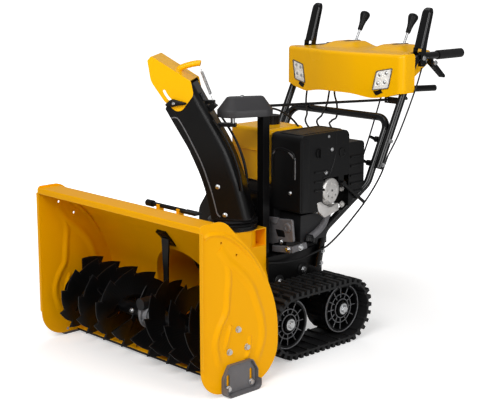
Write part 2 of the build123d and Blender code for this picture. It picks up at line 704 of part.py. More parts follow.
def cheek_face():
    """Return how far the outer faces of the deflector's cheeks are from the chute's middle."""
    return CHUTE_HALF_WIDTH + CHUTE_HEM_THICKNESS + 0.5 + DEFLECTOR_SHEET


def chute():
    """A channel that is open in front, with a rounded back, hems, a guard, clamping studs and a round foot."""
    rear = chute_rear_line()
    front = chute_front_line()
    half = CHUTE_HALF_WIDTH
    inner_half = half - CHUTE_SHEET
    shape = rounded_back(outline(side_view(rear + front[::-1]), [0, 500, 500, 500, 0, 30, 0, 300, 600, 0]),
                         half)
    gear_seat = GEAR_COVER_BASE - GEAR_SHAFT_DROP
    shape += block((-15, 15), (-chute_rear_reach(gear_seat) - 1, 12), (gear_seat - BRACKET_HEIGHT, gear_seat))
    hook = HINGE_HEIGHT - SPRING_HOOK_DROP
    shape += block((-12, 12), (-chute_rear_reach(hook) + 2, 32 - chute_rear_reach(hook)),
                   (hook - BRACKET_HEIGHT, hook))
    inner_rear = shifted_line(rear, CHUTE_SHEET)
    inner = [(inner_rear[0][0], CHUTE_BODY_BASE - 1), *inner_rear[1:], *by_hinge([(92, 72)])]
    ahead = [(reach + 60, height) for reach, height in front[:0:-1]] + [(front[0][0] + 60,
                                                                         CHUTE_BODY_BASE - 1)]
    bend = 500 - CHUTE_SHEET
    hollow = rounded_back(outline(side_view(inner + ahead), [0, bend, bend, bend] + [0] * 7), inner_half)
    shape -= hollow
    hem_radii = [0, 600, 300, 0, 8, 8, 0, 300 + CHUTE_HEM_WIDTH, 600 + CHUTE_HEM_WIDTH, 0]
    sunk = CHUTE_SHEET - 1
    foot = (front[0][0] - sunk * (front[1][0] - front[0][0]) / (front[1][1] - front[0][1]),
            front[0][1] - sunk)
    hem = strip([foot, *front[1:]], -CHUTE_HEM_WIDTH, hem_radii)
    lean = (front[2][0] - front[1][0]) / (front[2][1] - front[1][1])
    guard_top = (front[1][0] + lean * (CHUTE_GUARD_TOP - front[1][1]), CHUTE_GUARD_TOP)
    shape += across(strip([foot, front[1], guard_top], -CHUTE_SHEET), (-inner_half, inner_half))
    ear = outline(side_view(by_hinge([(-18, -8), (-9, 7), (9, 8), (13, -8), (18, -36)])), [0, 8, 10, 6, 0])
    for side in (-1, 1):
        shape += across(hem, sorted((side * half, side * (half + CHUTE_HEM_THICKNESS))))
        shape += across(ear, sorted((side * inner_half, side * half)))
    rim = CHUTE_RIM
    step = block((-half - rim, half + rim), (-front[0][0] - rim, half + rim),
                 (CHUTE_BODY_BASE - CHUTE_SHEET, CHUTE_BODY_BASE))
    step = fillet(step.edges().filter_by(Axis.Z).group_by(Axis.Y)[-1], CHUTE_CORNER + rim)
    step += bar((0, 0, CHUTE_BODY_BASE - CHUTE_SHEET), (0, 0, CHUTE_BODY_BASE), CHUTE_BORE + DRUM_SHEET)
    passage = bar((0, 0, CHUTE_BODY_BASE - 10), (0, 0, CHUTE_BODY_BASE + 1), CHUTE_BORE)
    passage = passage & block((-inner_half, inner_half), (-front[0][0] + CHUTE_SHEET, half - CHUTE_SHEET),
                              (CHUTE_BODY_BASE - 10, CHUTE_BODY_BASE + 1))
    shape += step - passage
    shape += hollow_bar((0, 0, COLLAR_TOP + RING_HEIGHT + SEAT_GAP), (0, 0, CHUTE_BODY_BASE - CHUTE_SHEET),
                        CHUTE_BORE + DRUM_SHEET, CHUTE_BORE)
    reach, height = knob_bolt_place()
    for side in (-1, 1):
        shape += bar((side * (inner_half - 2.5), -reach, height), (side * (cheek_face() + 8), -reach, height),
                     KNOB_BOLT_RADIUS)
        shape += bar((side * (inner_half - 2.5), -reach, height), (side * inner_half, -reach, height), 6.5)
    shape -= bar((-half - 9, -HINGE_REACH, HINGE_HEIGHT), (half + 9, -HINGE_REACH, HINGE_HEIGHT),
                 HINGE_PIN_RADIUS + RUNNING_GAP)
    return turned(shape)


def chute_ring():
    """The swivel ring on the discharge box, which turns with the chute."""
    base = COLLAR_TOP + SEAT_GAP
    ring = hollow_bar((0, 0, base), (0, 0, base + RING_HEIGHT), CHUTE_BORE + DRUM_SHEET + 4, CHUTE_BORE)
    ring += hollow_bar((0, 0, base), (0, 0, base + 5), RING_OUTER, CHUTE_BORE)
    for index in range(6):
        ring += Rot(0, 0, 60 * index) * block((-7, 7), (CHUTE_BORE + 5, RING_OUTER - 1), (base, base + 9))
    return turned(ring)


def deflector_outline():
    """Return the side view of the deflector: rear top, tip, front curve, bottom and rear."""
    corners = by_hinge([(-17, 5), (118, 88), (131, 72), (120, 2), (74, -65), (23, -108), (-27, -42)])
    return outline(side_view(corners), [5, 5, 5, 60, 60, 24, 30])


def deflector():
    """Two slotted cheeks under a roof with a turned-down tip, on the hinge pin, with the spring's arm."""
    outer = cheek_face()
    inner = outer - DEFLECTOR_SHEET
    start = math.radians(SLOT_START_ANGLE)
    end = math.radians(SLOT_START_ANGLE - DEFLECTOR_TRAVEL)
    arc = [(HINGE_REACH + SLOT_ARC_RADIUS * math.cos(angle), HINGE_HEIGHT - SLOT_ARC_RADIUS * math.sin(angle))
           for angle in (start, (start + end) / 2, end)]
    slot = SlotArc(ThreePointArc(*side_view(arc)), 2 * SLOT_HALF_WIDTH)
    shape = across(deflector_outline() - slot, (inner, outer))
    shape += across(deflector_outline() - slot, (-outer, -inner))
    shape += across(strip(by_hinge([(-14.5, 6.5), (116, 86.8), (130.5, 72)]), DEFLECTOR_SHEET),
                    (-inner, inner))
    shape += across(strip(by_hinge([(-36, 63), (24, 46), (42, 38)]), 4), (-13, 13))
    shape += bar((-outer, -HINGE_REACH, HINGE_HEIGHT), (outer, -HINGE_REACH, HINGE_HEIGHT), HINGE_PIN_RADIUS)
    return turned(shape)


def deflector_spring():
    """The tension spring from the deflector's arm to the bracket on the chute's back."""
    arm, high, low, hook = [(0, -reach, height) for reach, height in
                            by_hinge([(-35.5, 57), (-38, 40), (-64, -48), (-71, 0.5 - SPRING_HOOK_DROP)])]
    return turned(bar(high, low, SPRING_RADIUS) + bar(arm, high, 1.5) + bar(low, hook, 1.5))


def deflector_knob(side):
    """A wing knob on the chute's stud, which clamps the deflector's cheek."""
    reach, height = knob_bolt_place()
    seat = side * (cheek_face() + SEAT_GAP)
    knob = bar((seat, -reach, height), (seat + side * 12, -reach, height), 10)
    knob += Pos(seat + side * 12, -reach, height) * Rot(12, 0, 0) * Box(11, 52, 12)
    return turned(knob - bar((0, -reach, height), (side * (cheek_face() + 8.5), -reach, height),
                             KNOB_BOLT_RADIUS + RUNNING_GAP))


def tail_angle():
    """Return the turn about Z from straight back to the direction of the post, in degrees."""
    return -math.degrees(math.atan2(POST_X - CHUTE_X, POST_Y - CHUTE_Y))


def gear_cover_shape(wall):
    """Return the cover's shape inside a wall: a hat over the gear and a tail over the post."""
    radius = GEAR_COVER_RADIUS - wall
    brim = GEAR_COVER_BASE + GEAR_COVER_BRIM
    top = GEAR_COVER_TOP - wall
    low = GEAR_COVER_BASE - (1 if wall else 0)
    slope = top - brim
    shape = bar((0, 0, low), (0, 0, brim), radius)
    shape += Pos(0, 0, brim + slope / 2) * Cone(radius, radius - 0.8 * slope, slope)
    end = TAIL_LENGTH - wall
    half = TAIL_HALF_WIDTH - wall
    shape += across(outline([(0, low), (0, top), (end - 50, top), (end - 22, top - 26), (end, brim),
                             (end, low)]),
                    (-half, half))
    return shape


def chute_gear_cover():
    """The cap over the chute's gear, seated on the post."""
    cover = gear_cover_shape(0) - gear_cover_shape(GEAR_COVER_WALL)
    distance = math.hypot(POST_X - CHUTE_X, POST_Y - CHUTE_Y)
    post_top = CRANK_FRONT[2] - 11
    cover += block((-TAIL_HALF_WIDTH + 1, TAIL_HALF_WIDTH - 1), (distance - 16, distance + 16),
                   (post_top, post_top + 3))
    cover += bar((0, 30, GEAR_COVER_TOP), (0, 30, GEAR_COVER_TOP + 3), 6)
    cover = Pos(CHUTE_X, CHUTE_Y, 0) * Rot(0, 0, tail_angle()) * cover
    return cover - bar(CRANK_FRONT, CRANK_REAR, CRANK_RADIUS + 2)


def chute_post():
    """The square tube that carries the gear cover, with its foot on the chassis shelf."""
    top = CRANK_FRONT[2] - 11
    half = POST_SIDE / 2
    inner = half - POST_WALL
    post = block((POST_X - half, POST_X + half), (POST_Y - half, POST_Y + half), (DECK_TOP, top))
    post -= block((POST_X - inner, POST_X + inner), (POST_Y - inner, POST_Y + inner), (DECK_TOP + 4, top + 1))
    return post


def chute_gear():
    """The crown gear under the cover, whose shaft stands on the bracket at the chute's back."""
    face = GEAR_COVER_BASE + 17
    gear = bar((0, 0, GEAR_COVER_BASE - GEAR_SHAFT_DROP), (0, 0, face - 3), 8)
    gear += bar((0, 0, face - 7), (0, 0, face), CROWN_GEAR_RADIUS)
    for index in range(24):
        gear += Rot(0, 0, 15 * index) * block((-1.5, 1.5), (CROWN_GEAR_RADIUS - 14, CROWN_GEAR_RADIUS),
                                              (face - 1, face + 3.5))
    return turned(gear)


def chute_crank():
    """The rod from the pinion over the crown gear to the crank's throw, and the grip."""
    rod = bar(CRANK_FRONT, CRANK_REAR, CRANK_RADIUS)
    along = (Vector(*CRANK_REAR) - Vector(*CRANK_FRONT)).normalized()
    pinion = Plane(origin=Vector(*CRANK_FRONT), z_dir=along)
    rod += pinion * extrude(RegularPolygon(PINION_RADIUS, 8), 12)
    knuckle = Vector(*CRANK_REAR) + Vector(*CRANK_THROW)
    rod += bar(CRANK_REAR, tuple(knuckle), CRANK_RADIUS)
    rod += Pos(*CRANK_REAR) * Sphere(CRANK_RADIUS)
    rod += Pos(*tuple(knuckle)) * Sphere(CRANK_RADIUS)
    grip_start = knuckle + along * 14
    rod += bar(tuple(knuckle), tuple(grip_start), CRANK_RADIUS)
    grip = bar(tuple(grip_start), tuple(grip_start + along * CRANK_GRIP_LENGTH), CRANK_GRIP_RADIUS)
    return rod + grip


# Chassis and tracks

def frame_bolt_places():
    """Return how far back and how high the two large bolts of each chassis side are."""
    return [(604.0, 223.0), (724.0, 246.0)]


def leg_bolt_places():
    """Return the Y and Z of the two bolts that hold each handle leg to the chassis."""
    (foot_y, foot_z), (knee_y, knee_z) = LEG_FOOT, LEG_KNEE
    return [(behind(foot_y + (knee_y - foot_y) * share), foot_z + (knee_z - foot_z) * share)
            for share in (0.12, 0.45)]


def drive_frame():
    """The welded chassis: side plates, front plate, belly, deck, rear plate and post shelves."""
    half = CHASSIS_HALF_WIDTH
    inside = half - CHASSIS_SHEET
    front = DRUM_REAR
    side = outline([(front, CHASSIS_BOTTOM), (front, DECK_TOP), (CHASSIS_REAR, DECK_TOP), (CHASSIS_REAR, 205),
                    (CHASSIS_REAR - 28, CHASSIS_BOTTOM)], [0, 0, 0, 40, 40])
    frame = across(side, (inside, half)) + across(side, (-half, -inside))
    frame += block((-half, half), (front, front + CHASSIS_SHEET), (CHASSIS_BOTTOM, DECK_TOP))
    frame += block((-half, half), (DECK_FRONT, CHASSIS_REAR), (DECK_TOP - DECK_SHEET, DECK_TOP))
    frame += block((-half, half), (front, CHASSIS_REAR - 60),
                   (CHASSIS_BOTTOM, CHASSIS_BOTTOM + CHASSIS_SHEET))
    frame += block((-half, half), (CHASSIS_REAR - CHASSIS_SHEET, CHASSIS_REAR), (215, DECK_TOP))
    for sign in (-1, 1):
        shelf = sorted((sign * (DRIVEN_PULLEY_RADIUS), sign * half))
        frame += block(shelf, (front, DECK_FRONT), (DECK_TOP - DECK_SHEET, DECK_TOP))
    frame -= bar((0, front - 1, IMPELLER_Z), (0, front + 10, IMPELLER_Z), IMPELLER_SHAFT_RADIUS + 3)
    frame -= bar((-half - 1, AXLE_FRONT_Y + AXLE_SPACING, AXLE_Z),
                 (half + 1, AXLE_FRONT_Y + AXLE_SPACING, AXLE_Z),
                 AXLE_RADIUS + RUNNING_GAP)
    for distance, z in frame_bolt_places():
        frame -= bar((-half - 1, behind(distance), z), (half + 1, behind(distance), z),
                     BEARING_BOLT_RADIUS + BOLT_GAP)
    for y, z in leg_bolt_places():
        frame -= bar((-half - 1, y, z), (half + 1, y, z), HANDLE_BOLT_RADIUS + BOLT_GAP)
    return frame


def track_places():
    """Return Y, Z, outward angle and whether a full bar stands there, at every half step of the belt."""
    half_step = TRACK_PITCH / 2
    turn = 180 / WHEEL_TEETH
    places = []
    for start_y, start_angle, run in ((AXLE_FRONT_Y, 90, 1), (AXLE_FRONT_Y + AXLE_SPACING, 270, -1)):
        for index in range(WHEEL_TEETH + 1):
            angle = start_angle + index * turn
            places.append((start_y + CARCASS_RADIUS * math.cos(math.radians(angle)),
                           AXLE_Z + CARCASS_RADIUS * math.sin(math.radians(angle)), angle, index % 2 == 0))
        for index in range(1, 2 * BELT_STEPS):
            places.append((start_y + run * index * half_step, AXLE_Z - run * CARCASS_RADIUS,
                           start_angle + 180, index % 2 == 0))
    return places


def track():
    """The rubber belt: carcass, drive ribs inside, full bars and edge lugs outside."""
    middle = Pos(AXLE_FRONT_Y + AXLE_SPACING / 2, AXLE_Z)
    band = middle * SlotCenterToCenter(AXLE_SPACING, 2 * CARCASS_RADIUS)
    band -= middle * SlotCenterToCenter(AXLE_SPACING, 2 * (CARCASS_RADIUS - CARCASS_THICKNESS))
    bars = band
    edges = band
    overlap = 2.0
    depth = CARCASS_THICKNESS + RIB_HEIGHT
    for y, z, angle, full in track_places():
        at = Pos(y, z) * Rot(0, 0, angle)
        lug = Pos((LUG_HEIGHT - overlap) / 2, 0) * Rectangle(LUG_HEIGHT + overlap, LUG_LENGTH)
        if full:
            bars += at * lug
            bars += at * Pos(-depth / 2, 0) * Rectangle(depth, 8)
        edges += at * lug
    belt = across(bars, (TRACK_INNER, TRACK_OUTER))
    lug_reach = 38.0
    for low, high in ((TRACK_INNER, TRACK_INNER + lug_reach), (TRACK_OUTER - lug_reach, TRACK_OUTER)):
        belt += across(edges, (low, high))
    middle_x = (TRACK_INNER + TRACK_OUTER) / 2
    belt += across(edges, (middle_x - 16, middle_x + 16))
    limit = across(middle * SlotCenterToCenter(AXLE_SPACING, 2 * AXLE_Z), (TRACK_INNER, TRACK_OUTER))
    return belt & limit


def track_wheel(y):
    """A toothed wheel with a web, spokes and a ring, and a hub with a bolt on its end."""
    tip = CARCASS_RADIUS - CARCASS_THICKNESS - RIB_HEIGHT - SEAT_GAP
    rim = tip - 7
    wheel = hollow_bar((WHEEL_INNER, y, AXLE_Z), (WHEEL_OUTER, y, AXLE_Z), rim, rim - WHEEL_RIM_WALL)
    web = WHEEL_OUTER - 40
    wheel += bar((web, y, AXLE_Z), (web + 6, y, AXLE_Z), rim - 2)
    wheel += bar((TRACK_INNER - BEAM_GAP + SEAT_GAP, y, AXLE_Z), (WHEEL_OUTER + 4, y, AXLE_Z), 24)
    wheel += hollow_bar((web, y, AXLE_Z), (WHEEL_OUTER - 6, y, AXLE_Z), 54, 50.5)
    wheel += hollow_bar((web, y, AXLE_Z), (WHEEL_OUTER - 2, y, AXLE_Z), 36, 32.5)
    tooth_step = 360 / WHEEL_TEETH
    for index in range(WHEEL_TEETH):
        turn = Pos(0, y, AXLE_Z) * Rot(index * tooth_step, 0, 0)
        wheel += turn * block((web, WHEEL_OUTER - 8), (-1.8, 1.8), (20, rim - 2))
        wheel += Pos(0, y, AXLE_Z) * Rot((index + 0.5) * tooth_step, 0, 0) * block(
            (WHEEL_INNER + 16, WHEEL_OUTER - 16), (-8, 8), (rim - 3, tip - 0.4))
    return wheel


def front_wheel():
    """The front wheel, which runs on the beam's stub axle."""
    return track_wheel(AXLE_FRONT_Y) - bar((0, AXLE_FRONT_Y, AXLE_Z), (TRACK_OUTER, AXLE_FRONT_Y, AXLE_Z),
                                           AXLE_RADIUS + RUNNING_GAP)


def rear_wheel():
    """The rear wheel with its half of the driven axle."""
    y = AXLE_FRONT_Y + AXLE_SPACING
    wheel = track_wheel(y) + bar((1, y, AXLE_Z), (WHEEL_OUTER + 8, y, AXLE_Z), AXLE_RADIUS)
    wheel += bar((20, y, AXLE_Z), (120, y, AXLE_Z), 20)
    cap = Plane(origin=(WHEEL_OUTER + 8, y, AXLE_Z), z_dir=(1, 0, 0))
    return wheel + cap * extrude(RegularPolygon(10, 6), 7)


def track_frames():
    """The beam inside each track, from the rear axle to the front stub axle."""
    low = TRACK_INNER - BEAM_GAP - BEAM_SHEET
    rear_y = AXLE_FRONT_Y + AXLE_SPACING
    face = outline([(AXLE_FRONT_Y - 34, AXLE_Z - 26), (AXLE_FRONT_Y - 34, AXLE_Z + 26),
                    (AXLE_FRONT_Y + 60, AXLE_Z + 44),
                    (rear_y - 60, AXLE_Z + 44), (rear_y + 34, AXLE_Z + 26), (rear_y + 34, AXLE_Z - 26),
                    (rear_y - 40, AXLE_Z - 30), (AXLE_FRONT_Y + 40, AXLE_Z - 30)],
                    [14, 14, 30, 30, 14, 14, 30, 30])
    beam = across(face, (low, low + BEAM_SHEET))
    beam -= bar((low - 1, rear_y, AXLE_Z), (low + 10, rear_y, AXLE_Z), AXLE_RADIUS + RUNNING_GAP)
    beam += bar((low, AXLE_FRONT_Y, AXLE_Z), (WHEEL_OUTER + 8, AXLE_FRONT_Y, AXLE_Z), AXLE_RADIUS)
    cap = Plane(origin=(WHEEL_OUTER + 8, AXLE_FRONT_Y, AXLE_Z), z_dir=(1, 0, 0))
    beam += cap * extrude(RegularPolygon(10, 6), 7)
    spacer = hollow_bar((CHASSIS_HALF_WIDTH + SEAT_GAP, rear_y, AXLE_Z), (low, rear_y, AXLE_Z), 22,
                        AXLE_RADIUS + RUNNING_GAP)
    return both_sides(beam + spacer)


# Engine and belt drive

def belt_cover():
    """A hood over the upper part of the belt drive, on the chassis shelves."""
    def hood(wall):
        corners = [(COVER_LEFT + wall, DECK_TOP), (COVER_LEFT + wall, 440),
                   (COVER_LEFT + 62, COVER_TOP - wall),
                   (COVER_RIGHT - 40, COVER_TOP - wall), (COVER_RIGHT - wall, 470),
                   (COVER_RIGHT - wall, DECK_TOP)]
        return outline(corners, [0, 50 - wall, 40 - wall, 40 - wall, 40 - wall, 0])
    cover = lengthwise(hood(0), (COVER_FRONT, COVER_REAR))
    cover -= lengthwise(Pos(0, -1) * hood(COVER_WALL), (COVER_FRONT + COVER_WALL, COVER_REAR - COVER_WALL))
    return cover - bar((0, COVER_REAR - 10, ENGINE_SHAFT_Z), (0, COVER_REAR + 1, ENGINE_SHAFT_Z),
                       ENGINE_SHAFT_RADIUS + 5)


def drive_belt():
    """The belt round the engine's pulley and the impeller's pulley, in both grooves."""
    def loop(extra):
        upper = Pos(0, ENGINE_SHAFT_Z) * Circle(ENGINE_PULLEY_RADIUS - BELT_DEPTH + extra)
        lower = Pos(0, IMPELLER_Z) * Circle(DRIVEN_PULLEY_RADIUS - BELT_DEPTH + extra)
        return make_hull([*upper.edges(), *lower.edges()])
    face = loop(SEAT_GAP + BELT_DEPTH) - loop(SEAT_GAP)
    return lengthwise(face, (PULLEY_Y - BELT_WIDTH / 2, PULLEY_Y + BELT_WIDTH / 2))


def engine_pulley():
    """The engine's output shaft with the driving pulley."""
    shaft = bar((0, PULLEY_Y - 12, ENGINE_SHAFT_Z), (0, ENGINE_FRONT + 60, ENGINE_SHAFT_Z),
                ENGINE_SHAFT_RADIUS)
    return shaft + grooved_pulley(ENGINE_PULLEY_RADIUS, ENGINE_SHAFT_Z)


def engine_block():
    """Crankcase on two rails, a finned cylinder towards the operator's left, and the head."""
    block_right = HEATER_BOX_INNER - SEAT_GAP
    case = block((ENGINE_LEFT, block_right), (ENGINE_FRONT, ENGINE_REAR),
                 (DECK_TOP + RAIL_HEIGHT - 4, BLOCK_TOP))
    case = fillet(case.edges().filter_by(Axis.Y), 16)
    for low in (ENGINE_LEFT, ENGINE_RIGHT - 70):
        case += block((low, low + 70), (ENGINE_FRONT - 8, ENGINE_REAR), (DECK_TOP, DECK_TOP + RAIL_HEIGHT))
    case += bar((0, ENGINE_FRONT - 8, ENGINE_SHAFT_Z), (0, ENGINE_FRONT, ENGINE_SHAFT_Z), 62)
    case += block((block_right - 10, 196), (behind(676), behind(792)), (372, 450))
    for index in range(8):
        y = behind(664) + index * 18
        case += block((block_right - 6, 188), (y, y + 5), (358, 460))
    case += block((188, 212), (behind(664), behind(800)), (362, 458))
    case += block((block_right - 12, 168), (ENGINE_FRONT + 4, behind(676)), (DECK_TOP + RAIL_HEIGHT - 2, 404))
    case -= bar((0, ENGINE_FRONT - 20, ENGINE_SHAFT_Z), (0, ENGINE_FRONT + 61, ENGINE_SHAFT_Z),
                ENGINE_SHAFT_RADIUS + RUNNING_GAP)
    return case


def fuel_tank():
    """Two pressed halves with a seam, on feet over the crankcase."""
    inset = 7.0
    lower = block((TANK_LEFT + inset, TANK_RIGHT - inset), (TANK_FRONT + inset, TANK_REAR - inset),
                  (TANK_BASE, TANK_STEP))
    lower = fillet(lower.edges().filter_by(Axis.Z), TANK_CORNER - inset / 2)
    upper = block((TANK_LEFT, TANK_RIGHT), (TANK_FRONT, TANK_REAR), (TANK_STEP, TANK_TOP))
    upper = fillet(upper.edges().filter_by(Axis.Z), TANK_CORNER)
    upper = fillet(upper.faces().sort_by(Axis.Z)[-1].edges(), 14)
    tank = lower + upper
    for x in (TANK_LEFT + 24, TANK_RIGHT - 50):
        for y in (ENGINE_FRONT + 14, TANK_REAR - 44):
            tank += block((x, x + 26), (y, y + 26), (BLOCK_TOP, TANK_BASE))
    tank += bar((CAP_X, CAP_Y, TANK_TOP - 1), (CAP_X, CAP_Y, TANK_TOP + 6), CAP_RADIUS - 9)
    return tank


def fuel_cap():
    """The ribbed cap, over the tank's filler neck."""
    base = TANK_TOP + SEAT_GAP
    cap = bar((CAP_X, CAP_Y, base), (CAP_X, CAP_Y, base + CAP_HEIGHT), CAP_RADIUS)
    for index in range(16):
        cap -= Pos(CAP_X, CAP_Y, 0) * Rot(0, 0, index * 22.5) * bar((CAP_RADIUS, 0, base - 1),
                                                                    (CAP_RADIUS, 0, base + CAP_HEIGHT + 1), 2)
    return cap - bar((CAP_X, CAP_Y, base - 1), (CAP_X, CAP_Y, base + 6.5), CAP_RADIUS - 9 + SEAT_GAP)


def heater_box_outline(wall):
    """Return the heater box's side view, with its lower rear corner cut out for the silencer."""
    front = HEATER_BOX_FRONT + wall
    rear = HEATER_BOX_REAR - wall
    step = 586 + wall
    base = HEATER_BOX_BASE + wall
    return outline([(front, base + 8), (front, HEATER_BOX_TOP - wall), (rear, HEATER_BOX_TOP - wall),
                    (rear, step),
                    (behind(736) - wall, step), (behind(736) - wall, base)], [10, 26, 26, 6, 4, 8])


def carburetor_cover():
    """The hollow box over the carburettor, with the choke's pocket and the throttle's boss."""
    box = across(heater_box_outline(0), (HEATER_BOX_INNER, HEATER_BOX_OUTER))
    box -= across(heater_box_outline(HEATER_BOX_WALL),
                  (HEATER_BOX_INNER - 1, HEATER_BOX_OUTER - HEATER_BOX_WALL))
    box += block((HEATER_BOX_OUTER - 14, HEATER_BOX_OUTER), (behind(818), behind(846)), (544, 590))
    box -= bar((HEATER_BOX_OUTER - 20, CHOKE_Y, CHOKE_Z), (HEATER_BOX_OUTER + 1, CHOKE_Y, CHOKE_Z),
               6 + RUNNING_GAP)
    return box - bar((HEATER_BOX_OUTER - 20, *throttle_pivot()), (HEATER_BOX_OUTER + 1, *throttle_pivot()),
                     4 + RUNNING_GAP)


def throttle_pivot():
    """Return the Y and Z of the throttle lever's pivot."""
    return (behind(832), 560.0)


def throttle_lever():
    """The throttle rod on its pivot beside the silencer."""
    y, z = throttle_pivot()
    face = HEATER_BOX_OUTER + SEAT_GAP
    lever = bar((HEATER_BOX_OUTER - 12, y, z), (face + 16, y, z), 4)
    lever += bar((face, y, z), (face + 16, y, z), 9)
    return lever + bar((face + 10, y, z), (face + 10, behind(946), 476), 6)


def choke_knob():
    """The round choke knob with its finger bar."""
    face = HEATER_BOX_OUTER + SEAT_GAP
    knob = bar((HEATER_BOX_OUTER - 10, CHOKE_Y, CHOKE_Z), (face + 2, CHOKE_Y, CHOKE_Z), 6)
    knob += bar((face, CHOKE_Y, CHOKE_Z), (face + 4, CHOKE_Y, CHOKE_Z), CHOKE_RADIUS)
    return knob + block((face, face + 10), (CHOKE_Y - 3, CHOKE_Y + 3), (CHOKE_Z - 15, CHOKE_Z + 15))


def recoil_grip_place():
    """Return the X and Z of the recoil starter's grip."""
    return (34.0, 500.0)


def starter_housing():
    """The recoil drum's cover and the fan shroud behind the engine."""
    def shell(wall):
        front = HEATER_BOX_REAR + SEAT_GAP - (1 if wall else 0)
        corners = [(front, STARTER_BASE + wall), (front, STARTER_TOP - wall),
                   (STARTER_REAR - wall, STARTER_TOP - wall), (STARTER_REAR - wall, 540 + wall)]
        shroud = across(outline(corners, [0, 0, 16 - wall, 12 - wall]), (60 + wall, HEATER_BOX_OUTER - wall))
        drum = bar((0, ENGINE_REAR + SEAT_GAP - (1 if wall else 0), ENGINE_SHAFT_Z),
                   (0, STARTER_REAR - 6 - wall, ENGINE_SHAFT_Z), RECOIL_RADIUS - wall)
        return shroud + fillet(drum.edges().sort_by(Axis.Y)[-1], 14 - wall)
    x, z = recoil_grip_place()
    housing = shell(0) - shell(STARTER_WALL) + bar((x, STARTER_REAR - 30, z), (x, STARTER_REAR, z), 14)
    return housing - bar((x, STARTER_REAR - 20, z), (x, STARTER_REAR + 1, z), 6)


def starter_grip():
    """The T grip of the recoil starter, with its stem in the guide."""
    x, z = recoil_grip_place()
    face = STARTER_REAR + SEAT_GAP
    grip = bar((x, STARTER_REAR - 16, z), (x, face + 8, z), 5)
    grip += block((x - 40, x + 40), (face, face + 20), (z - 10, z + 10))
    return fillet(grip.edges().filter_by(Axis.X), 6)


def muffler():
    """The silencer's can under the heater box, with its domed guard and foot."""
    y = behind(781)
    can = bar((112, y, 522), (232, y, 522), 44)
    dome = Pos(232, y, 522) * Rot(0, 90, 0) * Cone(44, 26, 22, align=(Align.CENTER, Align.CENTER, Align.MIN))
    foot = block((150, 240), (behind(716), behind(826)), (464, 470))
    web = block((170, 222), (behind(750), behind(812)), (460, 490))
    return can + dome + foot + web


def oil_filler():
    """The filler tube from the crankcase, with its capped end."""
    start = (ENGINE_RIGHT + 5, behind(712), 338)
    end = (232, behind(748), 352)
    along = (Vector(*end) - Vector(*start)).normalized()
    filler = bar(start, end, 10) + bar(end, tuple(Vector(*end) + along * 20), 15)
    return filler + block((ENGINE_RIGHT + SEAT_GAP, ENGINE_RIGHT + 8), (behind(698), behind(726)), (326, 347))


# Handles

def handle_line(z):
    """Return the Y of the straight part of the handles at a height."""
    return HANDLE_Y + (z - HANDLE_Z) * HANDLE_SLOPE


def lower_handle():
    """The hoop: two bent legs from the chassis, and the crossbar between them."""
    def leg(sign):
        return [(sign * LEG_X, behind(LEG_FOOT[0]), LEG_FOOT[1]),
                (sign * LEG_X, behind(LEG_KNEE[0]), LEG_KNEE[1]),
                (sign * LOWER_TUBE_X, handle_line(LEG_BEND_Z), LEG_BEND_Z),
                (sign * LOWER_TUBE_X, handle_line(CROSSBAR_Z), CROSSBAR_Z)]
    points = leg(1) + leg(-1)[::-1]
    radii = [80, 80, 50, 50, 80, 80]
    hoop = bent_bar(points, radii, TUBE_RADIUS, TUBE_RADIUS - TUBE_WALL)
    for z in HANDLE_BOLT_HEIGHTS:
        hoop -= bar((-300, handle_line(z), z), (300, handle_line(z), z), HANDLE_BOLT_RADIUS + BOLT_GAP)
    for y, z in leg_bolt_places():
        hoop -= bar((-300, y, z), (300, y, z), HANDLE_BOLT_RADIUS + BOLT_GAP)
    return hoop


def upper_tube(radius, bore):
    """Return one upper tube: from its lower end, up the lean, then back over the grip."""
    points = [(UPPER_TUBE_X, handle_line(UPPER_TUBE_FOOT_Z), UPPER_TUBE_FOOT_Z),
              (UPPER_TUBE_X, handle_line(GRIP_Z), GRIP_Z), (UPPER_TUBE_X, GRIP_REAR - 4, GRIP_Z)]
    return bent_bar(points, [TUBE_BEND], radius, bore)


def crank_place(y):
    """Return where the crank's rod is at a given Y."""
    share = (y - CRANK_FRONT[1]) / (CRANK_REAR[1] - CRANK_FRONT[1])
    return (CRANK_FRONT[0] + share * (CRANK_REAR[0] - CRANK_FRONT[0]),
            CRANK_FRONT[2] + share * (CRANK_REAR[2] - CRANK_FRONT[2]))


def upper_handles():
    """The two upper tubes with the trigger brackets, and the crank's bearing plate on the left one."""
    tube = upper_tube(TUBE_RADIUS, TUBE_RADIUS - TUBE_WALL)
    bracket = block((UPPER_TUBE_X - 7, UPPER_TUBE_X + 7), (TRIGGER_PIVOT_Y - 9, TRIGGER_PIVOT_Y + 9),
                    (TRIGGER_PIVOT_Z - 8, GRIP_Z - TUBE_RADIUS + 1))
    tube += bracket
    tube -= bar((UPPER_TUBE_X - 20, TRIGGER_PIVOT_Y, TRIGGER_PIVOT_Z),
                (UPPER_TUBE_X + 20, TRIGGER_PIVOT_Y, TRIGGER_PIVOT_Z),
                3 + RUNNING_GAP)
    tube -= bar((UPPER_TUBE_X - 30, PADDLE_PIVOT_Y, PADDLE_PIVOT_Z),
                (UPPER_TUBE_X + 30, PADDLE_PIVOT_Y, PADDLE_PIVOT_Z),
                PADDLE_PIN_RADIUS + RUNNING_GAP)
    for z in HANDLE_BOLT_HEIGHTS:
        tube -= bar((200, handle_line(z), z), (320, handle_line(z), z), HANDLE_BOLT_RADIUS + BOLT_GAP)
    plate_y = handle_line(CRANK_REAR[2]) + 2
    rod_x, rod_z = crank_place(plate_y)
    plate = block((rod_x - 12, UPPER_TUBE_X - TUBE_RADIUS + 3), (plate_y - 4, plate_y),
                  (rod_z - 12, rod_z + 12))
    plate -= bar((rod_x, plate_y - 10, rod_z), (rod_x, plate_y + 10, rod_z), CRANK_RADIUS + 1.2)
    return [tube + plate, mirror(tube, about=Plane.YZ)]


